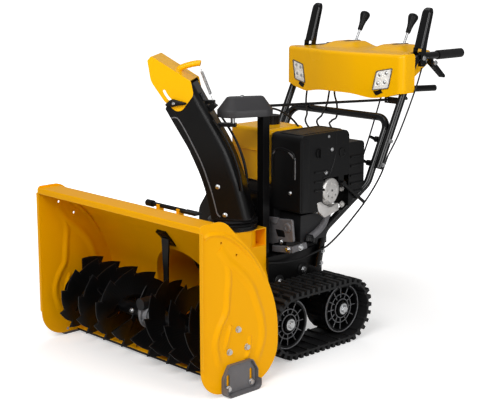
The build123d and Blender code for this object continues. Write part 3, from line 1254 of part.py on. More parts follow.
def handle_knobs():
    """Wing knobs inside the legs, on the bolts that join the handles."""
    face = LOWER_TUBE_X - TUBE_RADIUS - SEAT_GAP
    knobs = []
    for z in HANDLE_BOLT_HEIGHTS:
        y = handle_line(z)
        knob = bar((face - 16, y, z), (face, y, z), 11)
        knob += Pos(face - 20, y, z) * Rot(-25, 0, 0) * Box(12, 54, 9)
        knob -= bar((face - 10, y, z), (face + 1, y, z), HANDLE_BOLT_RADIUS + BOLT_GAP)
        knobs += both_sides(knob)
    return knobs


def grips():
    """A rubber sleeve with a closed end on each upper tube."""
    sleeve = bar((UPPER_TUBE_X, GRIP_FRONT, GRIP_Z), (UPPER_TUBE_X, GRIP_REAR, GRIP_Z), GRIP_RADIUS)
    sleeve -= bar((UPPER_TUBE_X, GRIP_FRONT - 1, GRIP_Z), (UPPER_TUBE_X, GRIP_REAR - 4, GRIP_Z),
                  TUBE_RADIUS + RUNNING_GAP)
    return both_sides(fillet(sleeve.edges().sort_by(Axis.Y)[-1], 3))


def clutch_lever():
    """A channel that straddles the tube and folds down onto the grip."""
    half = GRIP_RADIUS + 0.5 + PADDLE_SHEET
    web = PADDLE_WEB_HEIGHT
    face = outline([(-PADDLE_TAIL, -8), (-PADDLE_TAIL, 8), (PADDLE_WEB_START, web + PADDLE_SHEET),
                    (PADDLE_LENGTH - 10, web + PADDLE_SHEET), (PADDLE_LENGTH, 10), (PADDLE_LENGTH, 2),
                    (60, -3), (12, -10)], [7, 7, 8, 8, 6, 5, 30, 10])
    lever = across(face, (-half, half))
    inner = half - PADDLE_SHEET
    lever -= block((-inner, inner), (-PADDLE_TAIL - 1, PADDLE_LENGTH + 1), (-20, web))
    lever -= block((-inner, inner), (-PADDLE_TAIL - 1, PADDLE_WEB_START), (-20, web + 10))
    lever += bar((-half - 2, 0, 0), (half + 2, 0, 0), PADDLE_PIN_RADIUS)
    return Pos(UPPER_TUBE_X, PADDLE_PIVOT_Y, PADDLE_PIVOT_Z) * Rot(PADDLE_LEAN, 0, 0) * lever


def steering_trigger():
    """A finger lever under the grip that releases its track's drive."""
    face = outline([(-9, -8), (-9, 8), (22, 9), (94, 4), (100, -2), (92, -9), (22, -8)],
                   [7, 7, 20, 4, 4, 6, 20])
    lever = across(face, (-10.5, 10.5))
    lever -= block((-7.5, 7.5), (-10, 17), (-12, 12))
    lever += bar((-10, 0, 0), (10, 0, 0), 3)
    return Pos(UPPER_TUBE_X, TRIGGER_PIVOT_Y, TRIGGER_PIVOT_Z) * Rot(-36, 0, 0) * lever


def speed_lever():
    """A selector lever in the console: hub, rod and knob."""
    lever = bar((-8, 0, 0), (8, 0, 0), 10)
    lever += bar((-18, 0, 0), (18, 0, 0), 4)
    lever += bar((0, 0, 0), (0, 0, LEVER_LENGTH - 20), LEVER_ROD_RADIUS)
    base = LEVER_LENGTH - LEVER_KNOB_LENGTH
    knob = Pos(0, 0, base + 30) * Cone(10, LEVER_KNOB_RADIUS, 60)
    knob += Pos(0, 0, LEVER_LENGTH - LEVER_KNOB_RADIUS - 2) * Sphere(LEVER_KNOB_RADIUS)
    return Pos(LEVER_X, LEVER_PIVOT_Y, LEVER_PIVOT_Z) * Rot(-LEVER_LEAN, 0, 0) * (lever + knob)


def console_outline(wall):
    """Return the console's plan: bowed front, short wings round the tubes, deep middle."""
    half = CONSOLE_HALF_WIDTH - wall
    brow, brow_y = CONSOLE_BROW
    front = [(-half, CONSOLE_END_FRONT + wall), (-brow, brow_y + wall), (-60, behind(1062) + wall),
             (60, behind(1062) + wall), (brow, brow_y + wall), (half, CONSOLE_END_FRONT + wall)]
    rear = [(half, behind(1184) - wall), (254 - wall, behind(1184) - wall), (228 - wall, behind(1360) - wall),
            (wall - 228, behind(1360) - wall), (wall - 254, behind(1184) - wall),
            (-half, behind(1184) - wall)]
    return outline(front + rear, [18, 180, 160, 160, 180, 18, 6, 8, 44, 44, 8, 6])


def console_humps(wall):
    """Return the two cowls over the selector levers, inside a wall."""
    humps = []
    for low, high in ((-222, -22), (28, 222)):
        hump = block((low + wall, high - wall), (behind(1196) + wall, behind(1352) - wall),
                     (CONSOLE_TOP - 12, CONSOLE_TOP + HUMP_HEIGHT - wall))
        humps.append(fillet(hump.faces().sort_by(Axis.Z)[-1].edges() + hump.edges().filter_by(Axis.Z),
                            22 - wall))
    return humps


def dashboard():
    """The console shell over the handles, with lever slots, pivot ribs and lamp recesses."""
    shell = upwards(console_outline(0), (CONSOLE_BOTTOM, CONSOLE_TOP))
    shell = fillet(shell.faces().sort_by(Axis.Z)[-1].edges(), 12)
    for hump in console_humps(0):
        shell += hump
    shell -= upwards(console_outline(CONSOLE_WALL), (CONSOLE_BOTTOM - 1, CONSOLE_TOP - CONSOLE_WALL))
    for hump in console_humps(CONSOLE_WALL):
        shell -= hump
    shell -= across(outline([(behind(1188), CONSOLE_BOTTOM - 9), (behind(1196), CONSOLE_BOTTOM + 38),
                             (behind(1366), 966), (behind(1366), CONSOLE_BOTTOM - 9)]), (-300, 300))
    for sign in (-1, 1):
        rib = block((8.5, 14), (LEVER_PIVOT_Y - 14, LEVER_PIVOT_Y + 14),
                    (LEVER_PIVOT_Z - 12, CONSOLE_TOP + HUMP_HEIGHT - 1))
        for side in (-1, 1):
            shell += Pos(sign * LEVER_X, 0, 0) * (rib if side == 1 else mirror(rib, about=Plane.YZ))
        shell -= block((sign * LEVER_X - 8.4, sign * LEVER_X + 8.4), (behind(1258), behind(1352)),
                       (LEVER_PIVOT_Z + 11, CONSOLE_TOP + HUMP_HEIGHT + 5))
        shell -= bar((sign * LEVER_X - 20, LEVER_PIVOT_Y, LEVER_PIVOT_Z),
                     (sign * LEVER_X + 20, LEVER_PIVOT_Y, LEVER_PIVOT_Z),
                     4 + RUNNING_GAP)
    for tube in both_sides(upper_tube(TUBE_RADIUS + SEAT_GAP, 0)):
        shell -= tube
    for recess in both_sides(lamp_block(SEAT_GAP)):
        shell -= recess
    return max(shell.solids(), key=lambda solid: solid.volume)


def lamp_seat():
    """Return how far the console's face is turned back at the lamps, in degrees, and its Y there."""
    brow, brow_y = CONSOLE_BROW
    slope = (CONSOLE_END_FRONT - brow_y) / (CONSOLE_HALF_WIDTH - brow)
    return math.degrees(math.atan(slope)), brow_y + (LAMP_X - brow) * slope


def lamp_block(extra):
    """Return one slanted lamp body, set flat into the console's bowed front."""
    half_x = LAMP_WIDTH / 2 + extra
    half_z = LAMP_HEIGHT / 2 + extra
    lean = 11.0
    face = outline([(-half_x - lean, -half_z), (half_x - lean, -half_z), (half_x + lean, half_z),
                    (-half_x + lean, half_z)],
                   [5, 5, 5, 5])
    lamp = lengthwise(face, (-2.5 - extra, 7 + extra))
    angle, front_y = lamp_seat()
    return Pos(LAMP_X, front_y, LAMP_Z) * Rot(0, 0, angle) * lamp


def headlights():
    """Two lamps of four round lenses each."""
    lamps = []
    angle, front_y = lamp_seat()
    lamp = lamp_block(0)
    for x, z in ((-19, -19), (15, -19), (-13, 19), (21, 19)):
        lens = bar((x, -6, z), (x, 0, z), 12)
        lamp += Pos(LAMP_X, front_y, LAMP_Z) * Rot(0, 0, angle) * lens
    lamps += both_sides(lamp)
    return lamps


def control_cables():
    """The cables and shift rods between the controls and the machine."""
    run = CONSOLE_HALF_WIDTH + 3 + SEAT_GAP
    paddle_cable = cable([(run, behind(1214), 948), (run, behind(1190), 890), (run, behind(1130), 780),
                          (run + 2, behind(1078), 700), (run, behind(1030), 640)], 3)
    clutch_cable = cable([(166, behind(1147.4), 846), (168, behind(1117.4), 780), (176, behind(1067.4), 690),
                          (184, behind(1007.4), 590), (180, behind(972.4), 520)], 3)
    return both_sides(paddle_cable) + [clutch_cable]


def clean_out_tool():
    """The snow tool in its clips behind the housing's roof."""
    y = TOOL_Y
    z = TOOL_Z
    tool = bar((60, y, z), (222, y, z), 7)
    tool += bar((36, y, z), (66, y, z), 11)
    tool += block((222, 290), (y - 16, y + 14), (z - 4, z + 4))
    return tool


def tool_clips():
    """Two clips that hold the snow tool."""
    clips = []
    for x in (100, 200):
        clip = block((x - 7, x + 7), (TOOL_Y - 10.5, TOOL_Y + 10.5), (TOOL_Z - 40, TOOL_Z + 4))
        clip -= across(wrap_inside(1 - WRAP_SHEET), (x - 8, x + 8))
        clips.append(clip - bar((x - 8, TOOL_Y, TOOL_Z), (x + 8, TOOL_Y, TOOL_Z), 7 + SEAT_GAP))
    return clips


def fasteners():
    """Bolts of the bearings, skid shoes, chassis, handle joints and front axles."""
    bolts = []
    face = HOUSING_HALF_WIDTH
    for y, z in bearing_bolt_places():
        bolts += both_sides(bolt((face, y, z), (1, 0, 0), BEARING_BOLT_RADIUS,
                                 PANEL_SHEET + BEARING_FLANGE_THICKNESS + 6))
    for distance in SHOE_BOLTS:
        seat = face + SHOE_SHEET + SEAT_GAP
        bolts += both_sides(bolt((seat, behind(distance), SHOE_BOLT_Z), (1, 0, 0), SHOE_BOLT_RADIUS,
                                 SHOE_SHEET + SEAT_GAP + PANEL_SHEET))
    for distance, z in frame_bolt_places():
        bolts += both_sides(bolt((CHASSIS_HALF_WIDTH, behind(distance), z), (1, 0, 0), BEARING_BOLT_RADIUS,
                                 14))
    for y, z in leg_bolt_places():
        bolts += both_sides(bolt((LEG_X + TUBE_RADIUS, y, z), (1, 0, 0), HANDLE_BOLT_RADIUS,
                                 2 * TUBE_RADIUS + 10))
    for z in HANDLE_BOLT_HEIGHTS:
        bolts += both_sides(bolt((UPPER_TUBE_X + TUBE_RADIUS, handle_line(z), z), (1, 0, 0),
                                 HANDLE_BOLT_RADIUS,
                                 4 * TUBE_RADIUS + 8))
    return bolts


def mirrored(make):
    """Return a function that makes the right-hand copy of a left-hand part."""
    return lambda: mirror(make(), about=Plane.YZ)


NODES = {
    "housing_wrap": housing_wrap,
    "side_panel_left": side_panel,
    "side_panel_right": mirrored(side_panel),
    "scraper_blade": scraper_blade,
    "impeller_housing": impeller_housing,
    "bearing_flanges": bearing_flanges,
    "gearbox_support": gearbox_support,
    "auger_gearbox": auger_gearbox,
    "auger_shaft": auger_shaft,
    "auger_flights": auger_flights,
    "impeller": impeller,
    "impeller_shaft": impeller_shaft,
    "skid_shoe_left": skid_shoe,
    "skid_shoe_right": mirrored(skid_shoe),
    "chute": chute,
    "chute_ring": chute_ring,
    "deflector": deflector,
    "deflector_spring": deflector_spring,
    "deflector_knob_left": lambda: deflector_knob(1),
    "deflector_knob_right": lambda: deflector_knob(-1),
    "chute_gear": chute_gear,
    "chute_gear_cover": chute_gear_cover,
    "chute_post": chute_post,
    "chute_crank": chute_crank,
    "drive_frame": drive_frame,
    "track_left": track,
    "track_right": mirrored(track),
    "front_wheel_left": front_wheel,
    "front_wheel_right": mirrored(front_wheel),
    "rear_wheel_left": rear_wheel,
    "rear_wheel_right": mirrored(rear_wheel),
    "track_frames": track_frames,
    "belt_cover": belt_cover,
    "drive_belt": drive_belt,
    "engine_pulley": engine_pulley,
    "engine_block": engine_block,
    "fuel_tank": fuel_tank,
    "fuel_cap": fuel_cap,
    "carburetor_cover": carburetor_cover,
    "throttle_lever": throttle_lever,
    "choke_knob": choke_knob,
    "starter_housing": starter_housing,
    "starter_grip": starter_grip,
    "muffler": muffler,
    "oil_filler": oil_filler,
    "lower_handle": lower_handle,
    "upper_handles": upper_handles,
    "handle_knobs": handle_knobs,
    "grips": grips,
    "clutch_lever_left": clutch_lever,
    "clutch_lever_right": mirrored(clutch_lever),
    "steering_trigger_left": steering_trigger,
    "steering_trigger_right": mirrored(steering_trigger),
    "speed_lever": speed_lever,
    "deflector_lever": mirrored(speed_lever),
    "dashboard": dashboard,
    "headlights": headlights,
    "control_cables": control_cables,
    "clean_out_tool": clean_out_tool,
    "fasteners": fasteners,
}

os.makedirs("parts", exist_ok=True)
for name, make in NODES.items():
    made = make()
    shape = Compound(children=list(made)) if isinstance(made, list) else made
    export_step(shape, f"parts/{name}.step")
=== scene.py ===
# A two stage snowblower on rubber tracks: powder-coated steel, moulded plastic and rubber.
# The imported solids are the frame. Each section finishes one piece or group of like pieces.
import math

import bpy
import numpy as np
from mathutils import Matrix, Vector


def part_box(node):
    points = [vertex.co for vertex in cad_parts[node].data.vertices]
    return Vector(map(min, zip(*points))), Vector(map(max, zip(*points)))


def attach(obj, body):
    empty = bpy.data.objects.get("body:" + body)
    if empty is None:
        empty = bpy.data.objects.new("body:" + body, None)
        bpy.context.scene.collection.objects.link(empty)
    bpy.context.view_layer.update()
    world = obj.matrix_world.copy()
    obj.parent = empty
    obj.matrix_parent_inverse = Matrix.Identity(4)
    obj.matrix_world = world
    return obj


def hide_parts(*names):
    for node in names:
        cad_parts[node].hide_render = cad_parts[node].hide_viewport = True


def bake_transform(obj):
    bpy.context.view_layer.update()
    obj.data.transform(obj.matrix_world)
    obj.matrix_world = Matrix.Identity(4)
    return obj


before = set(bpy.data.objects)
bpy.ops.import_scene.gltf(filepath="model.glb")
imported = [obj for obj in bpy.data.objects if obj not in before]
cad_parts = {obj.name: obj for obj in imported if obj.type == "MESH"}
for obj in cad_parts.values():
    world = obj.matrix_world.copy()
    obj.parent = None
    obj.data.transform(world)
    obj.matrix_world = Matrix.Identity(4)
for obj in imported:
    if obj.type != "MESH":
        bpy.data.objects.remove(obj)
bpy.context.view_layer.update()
scene = bpy.context.scene
scene.view_settings.view_transform = "Standard"


# The viewpoint: a long lens from the machine's front left corner, a little above it.
# It looks down by the dip, and turns from straight ahead by the heading, both in degrees.
camera_dip, camera_heading = 11.82, 46.149
camera_data = bpy.data.cameras.new("camera")
camera_data.lens = 86.35
camera_data.sensor_width = 36.0
camera_data.clip_end = 60.0
camera = bpy.data.objects.new("camera", camera_data)
camera.location = (3.0591, -3.0580, 1.3780)
camera.rotation_euler = (math.radians(90 - camera_dip), 0.0, math.radians(camera_heading))
scene.collection.objects.link(camera)
scene.camera = camera


# The studio: a white surround, four large soft lamps and a pale floor. The surround gives less light
# than the camera sees in it, and the rim lamp isn't mirrored in the coats.
def linear(code):
    """Linear colour from an sRGB hex code: each channel has the sRGB curve taken off."""
    channels = np.array([int(code[i:i + 2], 16) for i in (1, 3, 5)]) / 255
    low = channels / 12.92
    high = ((channels + 0.055) / 1.055) ** 2.4
    return (*np.where(channels <= 0.04045, low, high).tolist(), 1.0)


def add_node(tree, kind, settings=None, **links):
    """Add a node. Settings fill its attributes and sockets, and links join its inputs, which are named,
    or numbered as i0, i1."""
    made = tree.nodes.new(kind)
    for name, value in (settings or {}).items():
        if hasattr(made, name) and name not in made.inputs:
            setattr(made, name, value)
        else:
            made.inputs[name].default_value = value
    for name, source in links.items():
        numbered = name[0] == "i" and name[1:].isdigit()
        socket = made.inputs[int(name[1:])] if numbered else made.inputs[name.replace("_", " ")]
        tree.links.new(source, socket)
    return made


pure_white = (1, 1, 1, 1)
world = bpy.data.worlds.new("studio")
world.use_nodes = True
scene.world = world
tree = world.node_tree
tree.nodes.clear()
path = add_node(tree, "ShaderNodeLightPath")
seen = add_node(tree, "ShaderNodeMath", {"operation": "MAXIMUM"}, i0=path.outputs["Is Camera Ray"],
                i1=path.outputs["Is Transmission Ray"])
soft = add_node(tree, "ShaderNodeBackground", {"Color": pure_white, "Strength": 0.24})
gloss = add_node(tree, "ShaderNodeBackground", {"Color": pure_white, "Strength": 0.3})
white = add_node(tree, "ShaderNodeBackground", {"Color": pure_white, "Strength": 1.0})
first = add_node(tree, "ShaderNodeMixShader", None, i0=path.outputs["Is Glossy Ray"],
                 i1=soft.outputs[0], i2=gloss.outputs[0])
mixed = add_node(tree, "ShaderNodeMixShader", None, i0=seen.outputs[0], i1=first.outputs[0],
                 i2=white.outputs[0])
add_node(tree, "ShaderNodeOutputWorld", None, Surface=mixed.outputs[0])

lamp_target = Vector((0, 0, 0.5))
for name, place, size, power in (
        ("key", (1.3, -3.2, 3.0), 2.2, 94.0), ("fill", (3.8, -0.4, 1.7), 1.8, 54.0),
        ("top", (-0.6, 0.3, 3.6), 2.4, 22.0), ("rim", (-2.6, 2.4, 2.2), 1.8, 26.0)):
    lamp_data = bpy.data.lights.new(name, "AREA")
    lamp_data.size = size
    lamp_data.energy = power
    lamp = bpy.data.objects.new(name, lamp_data)
    lamp.location = place
    lamp.visible_glossy = name != "rim"
    lamp.rotation_euler = (lamp_target - Vector(place)).to_track_quat("-Z", "Y").to_euler()
    scene.collection.objects.link(lamp)

floor_half, floor_z = 30, -0.0005
floor_corners = [(x * floor_half, y * floor_half, floor_z) for x, y in ((-1, -1), (1, -1), (1, 1), (-1, 1))]
floor_mesh = bpy.data.meshes.new("floor")
floor_mesh.from_pydata(floor_corners, [], [(0, 1, 2, 3)])
floor = bpy.data.objects.new("floor", floor_mesh)
scene.collection.objects.link(floor)
floor_finish = bpy.data.materials.new("studio_floor")
floor_finish.use_nodes = True
tree = floor_finish.node_tree
tree.nodes.clear()
path = add_node(tree, "ShaderNodeLightPath")
paper = add_node(tree, "ShaderNodeBsdfDiffuse", {"Color": (0.86, 0.86, 0.86, 1)})
place = add_node(tree, "ShaderNodeTexCoord")
away = add_node(tree, "ShaderNodeVectorMath", {"operation": "LENGTH"}, i0=place.outputs["Object"])
brighter = add_node(tree, "ShaderNodeMapRange",
                    {"From Min": 0.6, "From Max": 2.4, "To Min": 0.36, "To Max": 1.0},
                    Value=away.outputs["Value"])
glow = add_node(tree, "ShaderNodeEmission", {"Color": pure_white}, Strength=brighter.outputs[0])
lit = add_node(tree, "ShaderNodeAddShader", None, i0=paper.outputs[0], i1=glow.outputs[0])
lit = add_node(tree, "ShaderNodeMixShader", None, i0=path.outputs["Is Camera Ray"], i1=paper.outputs[0],
               i2=lit.outputs[0])
add_node(tree, "ShaderNodeOutputMaterial", None, Surface=lit.outputs[0])
floor_mesh.materials.append(floor_finish)


# Auger housing, its side panels and the discharge box: rolled steel sheet with a baked yellow
# powder coat. The coat has a soft orange peel 1 to 2 mm across, and its edges are painted paler as a
# highlight.
def mottled(tree, shader, low, high, size, roughness, bump, grain):
    """Vary the base colour and the roughness with noise of the given size in metres, and add a fine grain
    to the surface."""
    place = add_node(tree, "ShaderNodeTexCoord")
    cloud = add_node(tree, "ShaderNodeTexNoise", {"Scale": 1 / size, "Detail": 4.0, "Roughness": 0.6},
                     Vector=place.outputs["Object"])
    ramp = add_node(tree, "ShaderNodeMix", {"data_type": "RGBA"}, i0=cloud.outputs["Fac"])
    ramp.inputs[6].default_value = linear(low)
    ramp.inputs[7].default_value = linear(high)
    tree.links.new(ramp.outputs[2], shader.inputs["Base Color"])
    span = add_node(tree, "ShaderNodeMapRange", {"To Min": roughness[0], "To Max": roughness[1]},
                    Value=cloud.outputs["Fac"])
    tree.links.new(span.outputs[0], shader.inputs["Roughness"])
    dust = add_node(tree, "ShaderNodeTexNoise", {"Scale": 1 / grain, "Detail": 2.0},
                    Vector=place.outputs["Object"])
    relief = add_node(tree, "ShaderNodeBump", {"Strength": bump, "Distance": 0.0006},
                      Height=dust.outputs["Fac"])
    tree.links.new(relief.outputs[0], shader.inputs["Normal"])
    return ramp


def tint_edges(tree, shader, ramp, edge_colour, width):
    """Paint the given colour where a bevel of the given width turns the normal, which is along edges: a
    painted edge highlight, or a darker edge.
    """
    bevel = add_node(tree, "ShaderNodeBevel", {"samples": 4, "Radius": width})
    shape = add_node(tree, "ShaderNodeNewGeometry")
    turn = add_node(tree, "ShaderNodeVectorMath", {"operation": "DOT_PRODUCT"}, i0=bevel.outputs[0],
                    i1=shape.outputs["True Normal"])
    edge = add_node(tree, "ShaderNodeMapRange",
                    {"From Min": 0.985, "From Max": 0.90, "To Min": 0.0, "To Max": 0.6},
                    Value=turn.outputs["Value"])
    mix = add_node(tree, "ShaderNodeMix", {"data_type": "RGBA"}, i0=edge.outputs[0], i6=ramp.outputs[2])
    mix.inputs[7].default_value = linear(edge_colour)
    tree.links.new(mix.outputs[2], shader.inputs["Base Color"])


def new_finish(name, base, roughness, mottle, metallic=0.0, specular=0.5, edge_tint=None):
    """A material: a principled shader with plain values on its own sockets, mottled, and painted along its
    edges where an edge colour and a width are given."""
    finish = bpy.data.materials.new(name)
    finish.use_nodes = True
    shader = finish.node_tree.nodes["Principled BSDF"]
    shader.inputs["Base Color"].default_value = linear(base)
    shader.inputs["Roughness"].default_value = roughness
    shader.inputs["Metallic"].default_value = metallic
    shader.inputs["Specular IOR Level"].default_value = specular
    finish.diffuse_color = linear(base)
    ramp = mottled(finish.node_tree, shader, *mottle)
    if edge_tint:
        tint_edges(finish.node_tree, shader, ramp, *edge_tint)
    return finish


def coat_nodes(finish, *names):
    """Give CAD nodes a finish."""
    for name in names:
        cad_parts[name].data.materials.clear()
        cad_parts[name].data.materials.append(finish)


yellow_mottle = ("#F0A600", "#F8B000", 0.35, (0.27, 0.36), 0.12, 0.0016)
# The paler edge colour is a painted highlight along the edges.
yellow_coat = new_finish("yellow_powder_coat", "#F4AA00", 0.3, specular=0.08, mottle=yellow_mottle,
                         edge_tint=("#F8C440", 0.0016))
coat_nodes(yellow_coat, "housing_wrap", "side_panel_left", "side_panel_right", "impeller_housing")


# The side panels' pressed ribs: long curved swells that stiffen each sheet, seen from both sides, and
# the hems along the front edges. The ribs have the sheet's own coat, without the painted edge highlight,
# since a swell has no edge.
X, Y, Z = (1, 0, 0), (0, 1, 0), (0, 0, 1)
FORWARD = (0, -1, 0)


def unit(vectors):
    """Vectors scaled to length one."""
    return vectors / np.linalg.norm(vectors, axis=-1, keepdims=True)


def curve(points, steps=8):
    """A Catmull-Rom line: cubic weights blend each span's ends and their slopes, which are half of the
    next point minus the previous one."""
    p = np.array(points, float)
    p = np.vstack([2 * p[0] - p[1], p, 2 * p[-1] - p[-2]])
    s = np.linspace(0, 1, steps, endpoint=False)[:, None, None]
    a, b, c, d = p[:-3], p[1:-2], p[2:-1], p[3:]
    spans = 0.5 * (2 * b + (c - a) * s + (2 * a - 5 * b + 4 * c - d) * s**2
                   + (3 * b - a - 3 * c + d) * s**3)
    return np.vstack([spans.transpose(1, 0, 2).reshape(-1, p.shape[1]), p[-2]])


def skin(stack):
    """Points and faces of a stack of closed rings (levels, around, 3): quads join level to level, a fan
    to the mean point closes each end, and all faces turn over where the signed volume, the sum of
    a.(b x c) / 6, is negative."""
    levels, around = stack.shape[:2]
    points = np.vstack([stack.reshape(-1, 3), stack[0].mean(0), stack[-1].mean(0)])
    here = np.arange(around)
    beside = (here + 1) % around
    base = np.arange(levels - 1)[:, None] * around
    quads = np.stack([base + here, base + beside, base + around + beside, base + around + here], -1)
    quads = quads.reshape(-1, 4)
    top = (levels - 1) * around
    fans = np.vstack([np.stack([beside, here, np.full(around, levels * around)], -1),
                      np.stack([top + here, top + beside, np.full(around, levels * around + 1)], -1)])
    thirds = np.vstack([quads[:, :3], quads[:, [0, 2, 3]], fans])
    a, b, c = (points[thirds] - points.mean(0)).transpose(1, 0, 2)
    if np.einsum("ij,ij->", a, np.cross(b, c)) < 0:
        quads, fans = quads[:, ::-1], fans[:, ::-1]
    return points, quads, fans


def make(name, stacks, finish, body, replaced=(), sharp=38):
    """One object from stacks of rings in millimetres, which rides on a body and may stand for CAD nodes."""
    points, faces, count = [], [], 0
    for stack in stacks:
        skinned, quads, fans = skin(np.asarray(stack, float))
        points.append(skinned)
        faces += (quads + count).tolist() + (fans + count).tolist()
        count += len(skinned)
    mesh = bpy.data.meshes.new(name)
    mesh.from_pydata(np.vstack(points) / 1000, [], faces)
    mesh.polygons.foreach_set("use_smooth", np.ones(len(mesh.polygons), bool))
    mesh.set_sharp_from_angle(angle=math.radians(sharp))
    mesh.materials.append(finish)
    made = bpy.data.objects.new(name, mesh)
    scene.collection.objects.link(made)
    if body:
        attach(made, body)
    if replaced:
        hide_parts(*replaced)
    return made


def tube(path, radius, up=Z, around=12, flat=1.0):
    """A round or oval bar: a circle carried along the path, on the two axes square to the path, from up."""
    path = np.array(path, float)
    along = unit(np.gradient(path, axis=0))
    across = unit(np.cross(along, up))
    rise = np.cross(across, along)
    turn = np.linspace(0, 2 * np.pi, around, endpoint=False)[None, :, None]
    radius = np.broadcast_to(radius, len(path))[:, None, None]
    return path[:, None] + radius * (np.cos(turn) * across[:, None] + flat * np.sin(turn) * rise[:, None])


def pressed_rib(line, face, outward, width, height):
    """A rib pressed in a panel: a cosine-squared swell across the line, faded at both ends by the root of
    a sine, over a flat back 1.2 mm inside the face."""
    line = curve(line)
    along = unit(np.gradient(line, axis=0))
    side = np.stack([-along[:, 1], along[:, 0]], 1)
    across = np.linspace(-0.5, 0.5, 11)
    fade = np.sin(np.linspace(0.04, np.pi - 0.04, len(line))) ** 0.5
    rise = np.append(height * np.cos(np.pi * across) ** 2, [-1.2, -1.2])
    reach = np.append(across, [0.5, -0.5]) * width
    rise = np.where(rise > 0, rise * fade[:, None], rise)
    flat = line[:, None] + reach[:, None] * side[:, None]
    x = np.broadcast_to(face + outward * rise, flat.shape[:2])
    return np.dstack([x, flat])


swell_coat = new_finish("yellow_powder_coat_on_ribs", "#F4AA00", 0.3, specular=0.08, mottle=yellow_mottle)
panel_relief, panel_sheet = 8, 4
rib_height, dent_height = 7.4, 5.0
hem_radius, roof_edge_z = 3.2, 541
front_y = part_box("side_panel_left")[0].y * 1000
panel_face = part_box("side_panel_right")[0].x * -1000 - panel_relief
rib_lines = [
    (((110, 433), (117, 388), (112, 337), (104, 272), (75, 227), (60, 178), (71, 119), (86, 93)), 36),
    (((79, 479), (117, 430), (161, 394), (210, 340), (236, 282), (256, 228), (264, 161), (246, 107),
      (236, 79)), 42),
    (((126, 228), (111, 196), (101, 153)), 24),
    (((208, 174), (200, 126), (187, 102)), 24),
    (((16, 521), (42, 530), (100, 519), (160, 480), (218, 424), (268, 352)), 20)]
for side, name in ((1, "left"), (-1, "right")):
    ribs = []
    for line, width in rib_lines:
        line = np.array(line, float) + (front_y, 0)
        ribs += [pressed_rib(line, side * panel_face, side, width, rib_height),
                 pressed_rib(line, side * (panel_face - panel_sheet), -side, width, dent_height)]
    hem = [(side * (panel_face + 2), front_y + 3.3, z) for z in np.linspace(104, 540, 12)]
    ribs.append(tube(hem, hem_radius, up=Y))
    make(f"panel_ribs_{name}", ribs, swell_coat, "chassis", sharp=70)
roof_hem = [(x, front_y + 3.2, roof_edge_z) for x in np.linspace(-424, 424, 12)]
make("roof_hem", [tube(roof_hem, hem_radius)], yellow_coat, "chassis")


# Auger ribbons: two toothed flats on each side of the gearbox, held by arms on a sleeve. Like the
# impeller, chute and chassis, they are steel with a satin black powder coat, near black with a fine
# grain and broad grey highlights. Its edges are painted dark grey as a highlight, and a mid grey
# stands for painted highlights on beads, rings and edges.
black_coat = new_finish(
    "black_powder_coat", "#060607", 0.34, specular=0.24,
    mottle=("#050505", "#0B0A0B", 0.12, (0.28, 0.4), 0.2, 0.0011), edge_tint=("#3C3C3E", 0.0014))
coat_nodes(black_coat, "scraper_blade", "bearing_flanges", "gearbox_support", "auger_shaft",
           "auger_flights", "impeller", "chute", "chute_ring", "chute_post", "chute_crank", "drive_frame",
           "track_frames", "belt_cover", "starter_housing", "throttle_lever")
# A mid grey painted on as highlights: the chute's beads and strap, the wheels' rings and the cover's edges.
highlight_grey_coat = new_finish(
    "painted_highlight_grey", "#5E5E60", 0.4,
    mottle=("#4C4C4E", "#77777A", 0.01, (0.32, 0.46), 0.2, 0.0011))

low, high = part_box("auger_flights")
auger_y, auger_z = (low.y + high.y) * 500, (low.z + high.z) * 500
auger_radius, ribbon_inner, tooth_depth = 142.0, 50.0, 22
ribbon_angles, arm_places = (20, 200), (71, 150, 214, 300, 363)
ribbon_start, ribbon_end, ribbon_pitch = 50.0, 398.0, 200.0
tooth = math.radians(36)


def flight(start):
    """A toothed ribbon: a flat bar from inner to outer radius carried round the shaft, x rising with the
    angle, where the outer radius falls away behind each tooth as a power of the share of the tooth
    passed."""
    turns = (ribbon_end - ribbon_start) / ribbon_pitch * 2 * np.pi
    teeth = int(turns / tooth)
    shares = np.array([0.0, 0.1, 0.22, 0.36, 0.5, 0.64, 0.78, 0.9, 0.965])
    angle = (np.arange(teeth)[:, None] + shares).ravel() * tooth
    outer = auger_radius - tooth_depth * np.tile(shares, teeth)**0.8
    inner = np.full_like(outer, ribbon_inner)
    x = ribbon_start + ribbon_pitch * angle / (2 * np.pi)
    radius = np.stack([inner, outer - 10, outer, outer, outer - 10, inner], 1)
    thick = np.array([-2.6, -3.4, -1.4, 1.4, 3.4, 2.6])
    turn = angle[:, None] + start
    return np.dstack([x[:, None] + thick + 0 * radius, auger_y + radius * np.cos(turn),
                      auger_z + radius * np.sin(turn)])


def lathe(start, direction, profile, around=28, lobes=0, depth=0.0):
    """A turned shape: rings at each (distance, radius) of the profile along the direction; lobes swell and
    shrink the radius by depth times the cosine of the angle."""
    direction = unit(np.array(direction, float))
    across = unit(np.cross(direction, Z if abs(direction[2]) < 0.9 else X))
    turn = np.linspace(0, 2 * np.pi, around, endpoint=False)[:, None]
    ring = np.cos(turn) * across + np.sin(turn) * np.cross(direction, across)
    ring = ring * (1 + depth * np.cos(lobes * turn))
    distance, radius = np.array(profile, float).T[:, :, None, None]
    return np.array(start, float) + distance * direction + radius * ring


def mirrored(stacks):
    """The same stacks with X turned to minus X."""
    return [np.asarray(stack) * (-1, 1, 1) for stack in stacks]


def sided(stacks, side):
    """The stacks as they are for the left side, 1, and mirrored for the right, -1."""
    return stacks if side == 1 else mirrored(stacks)


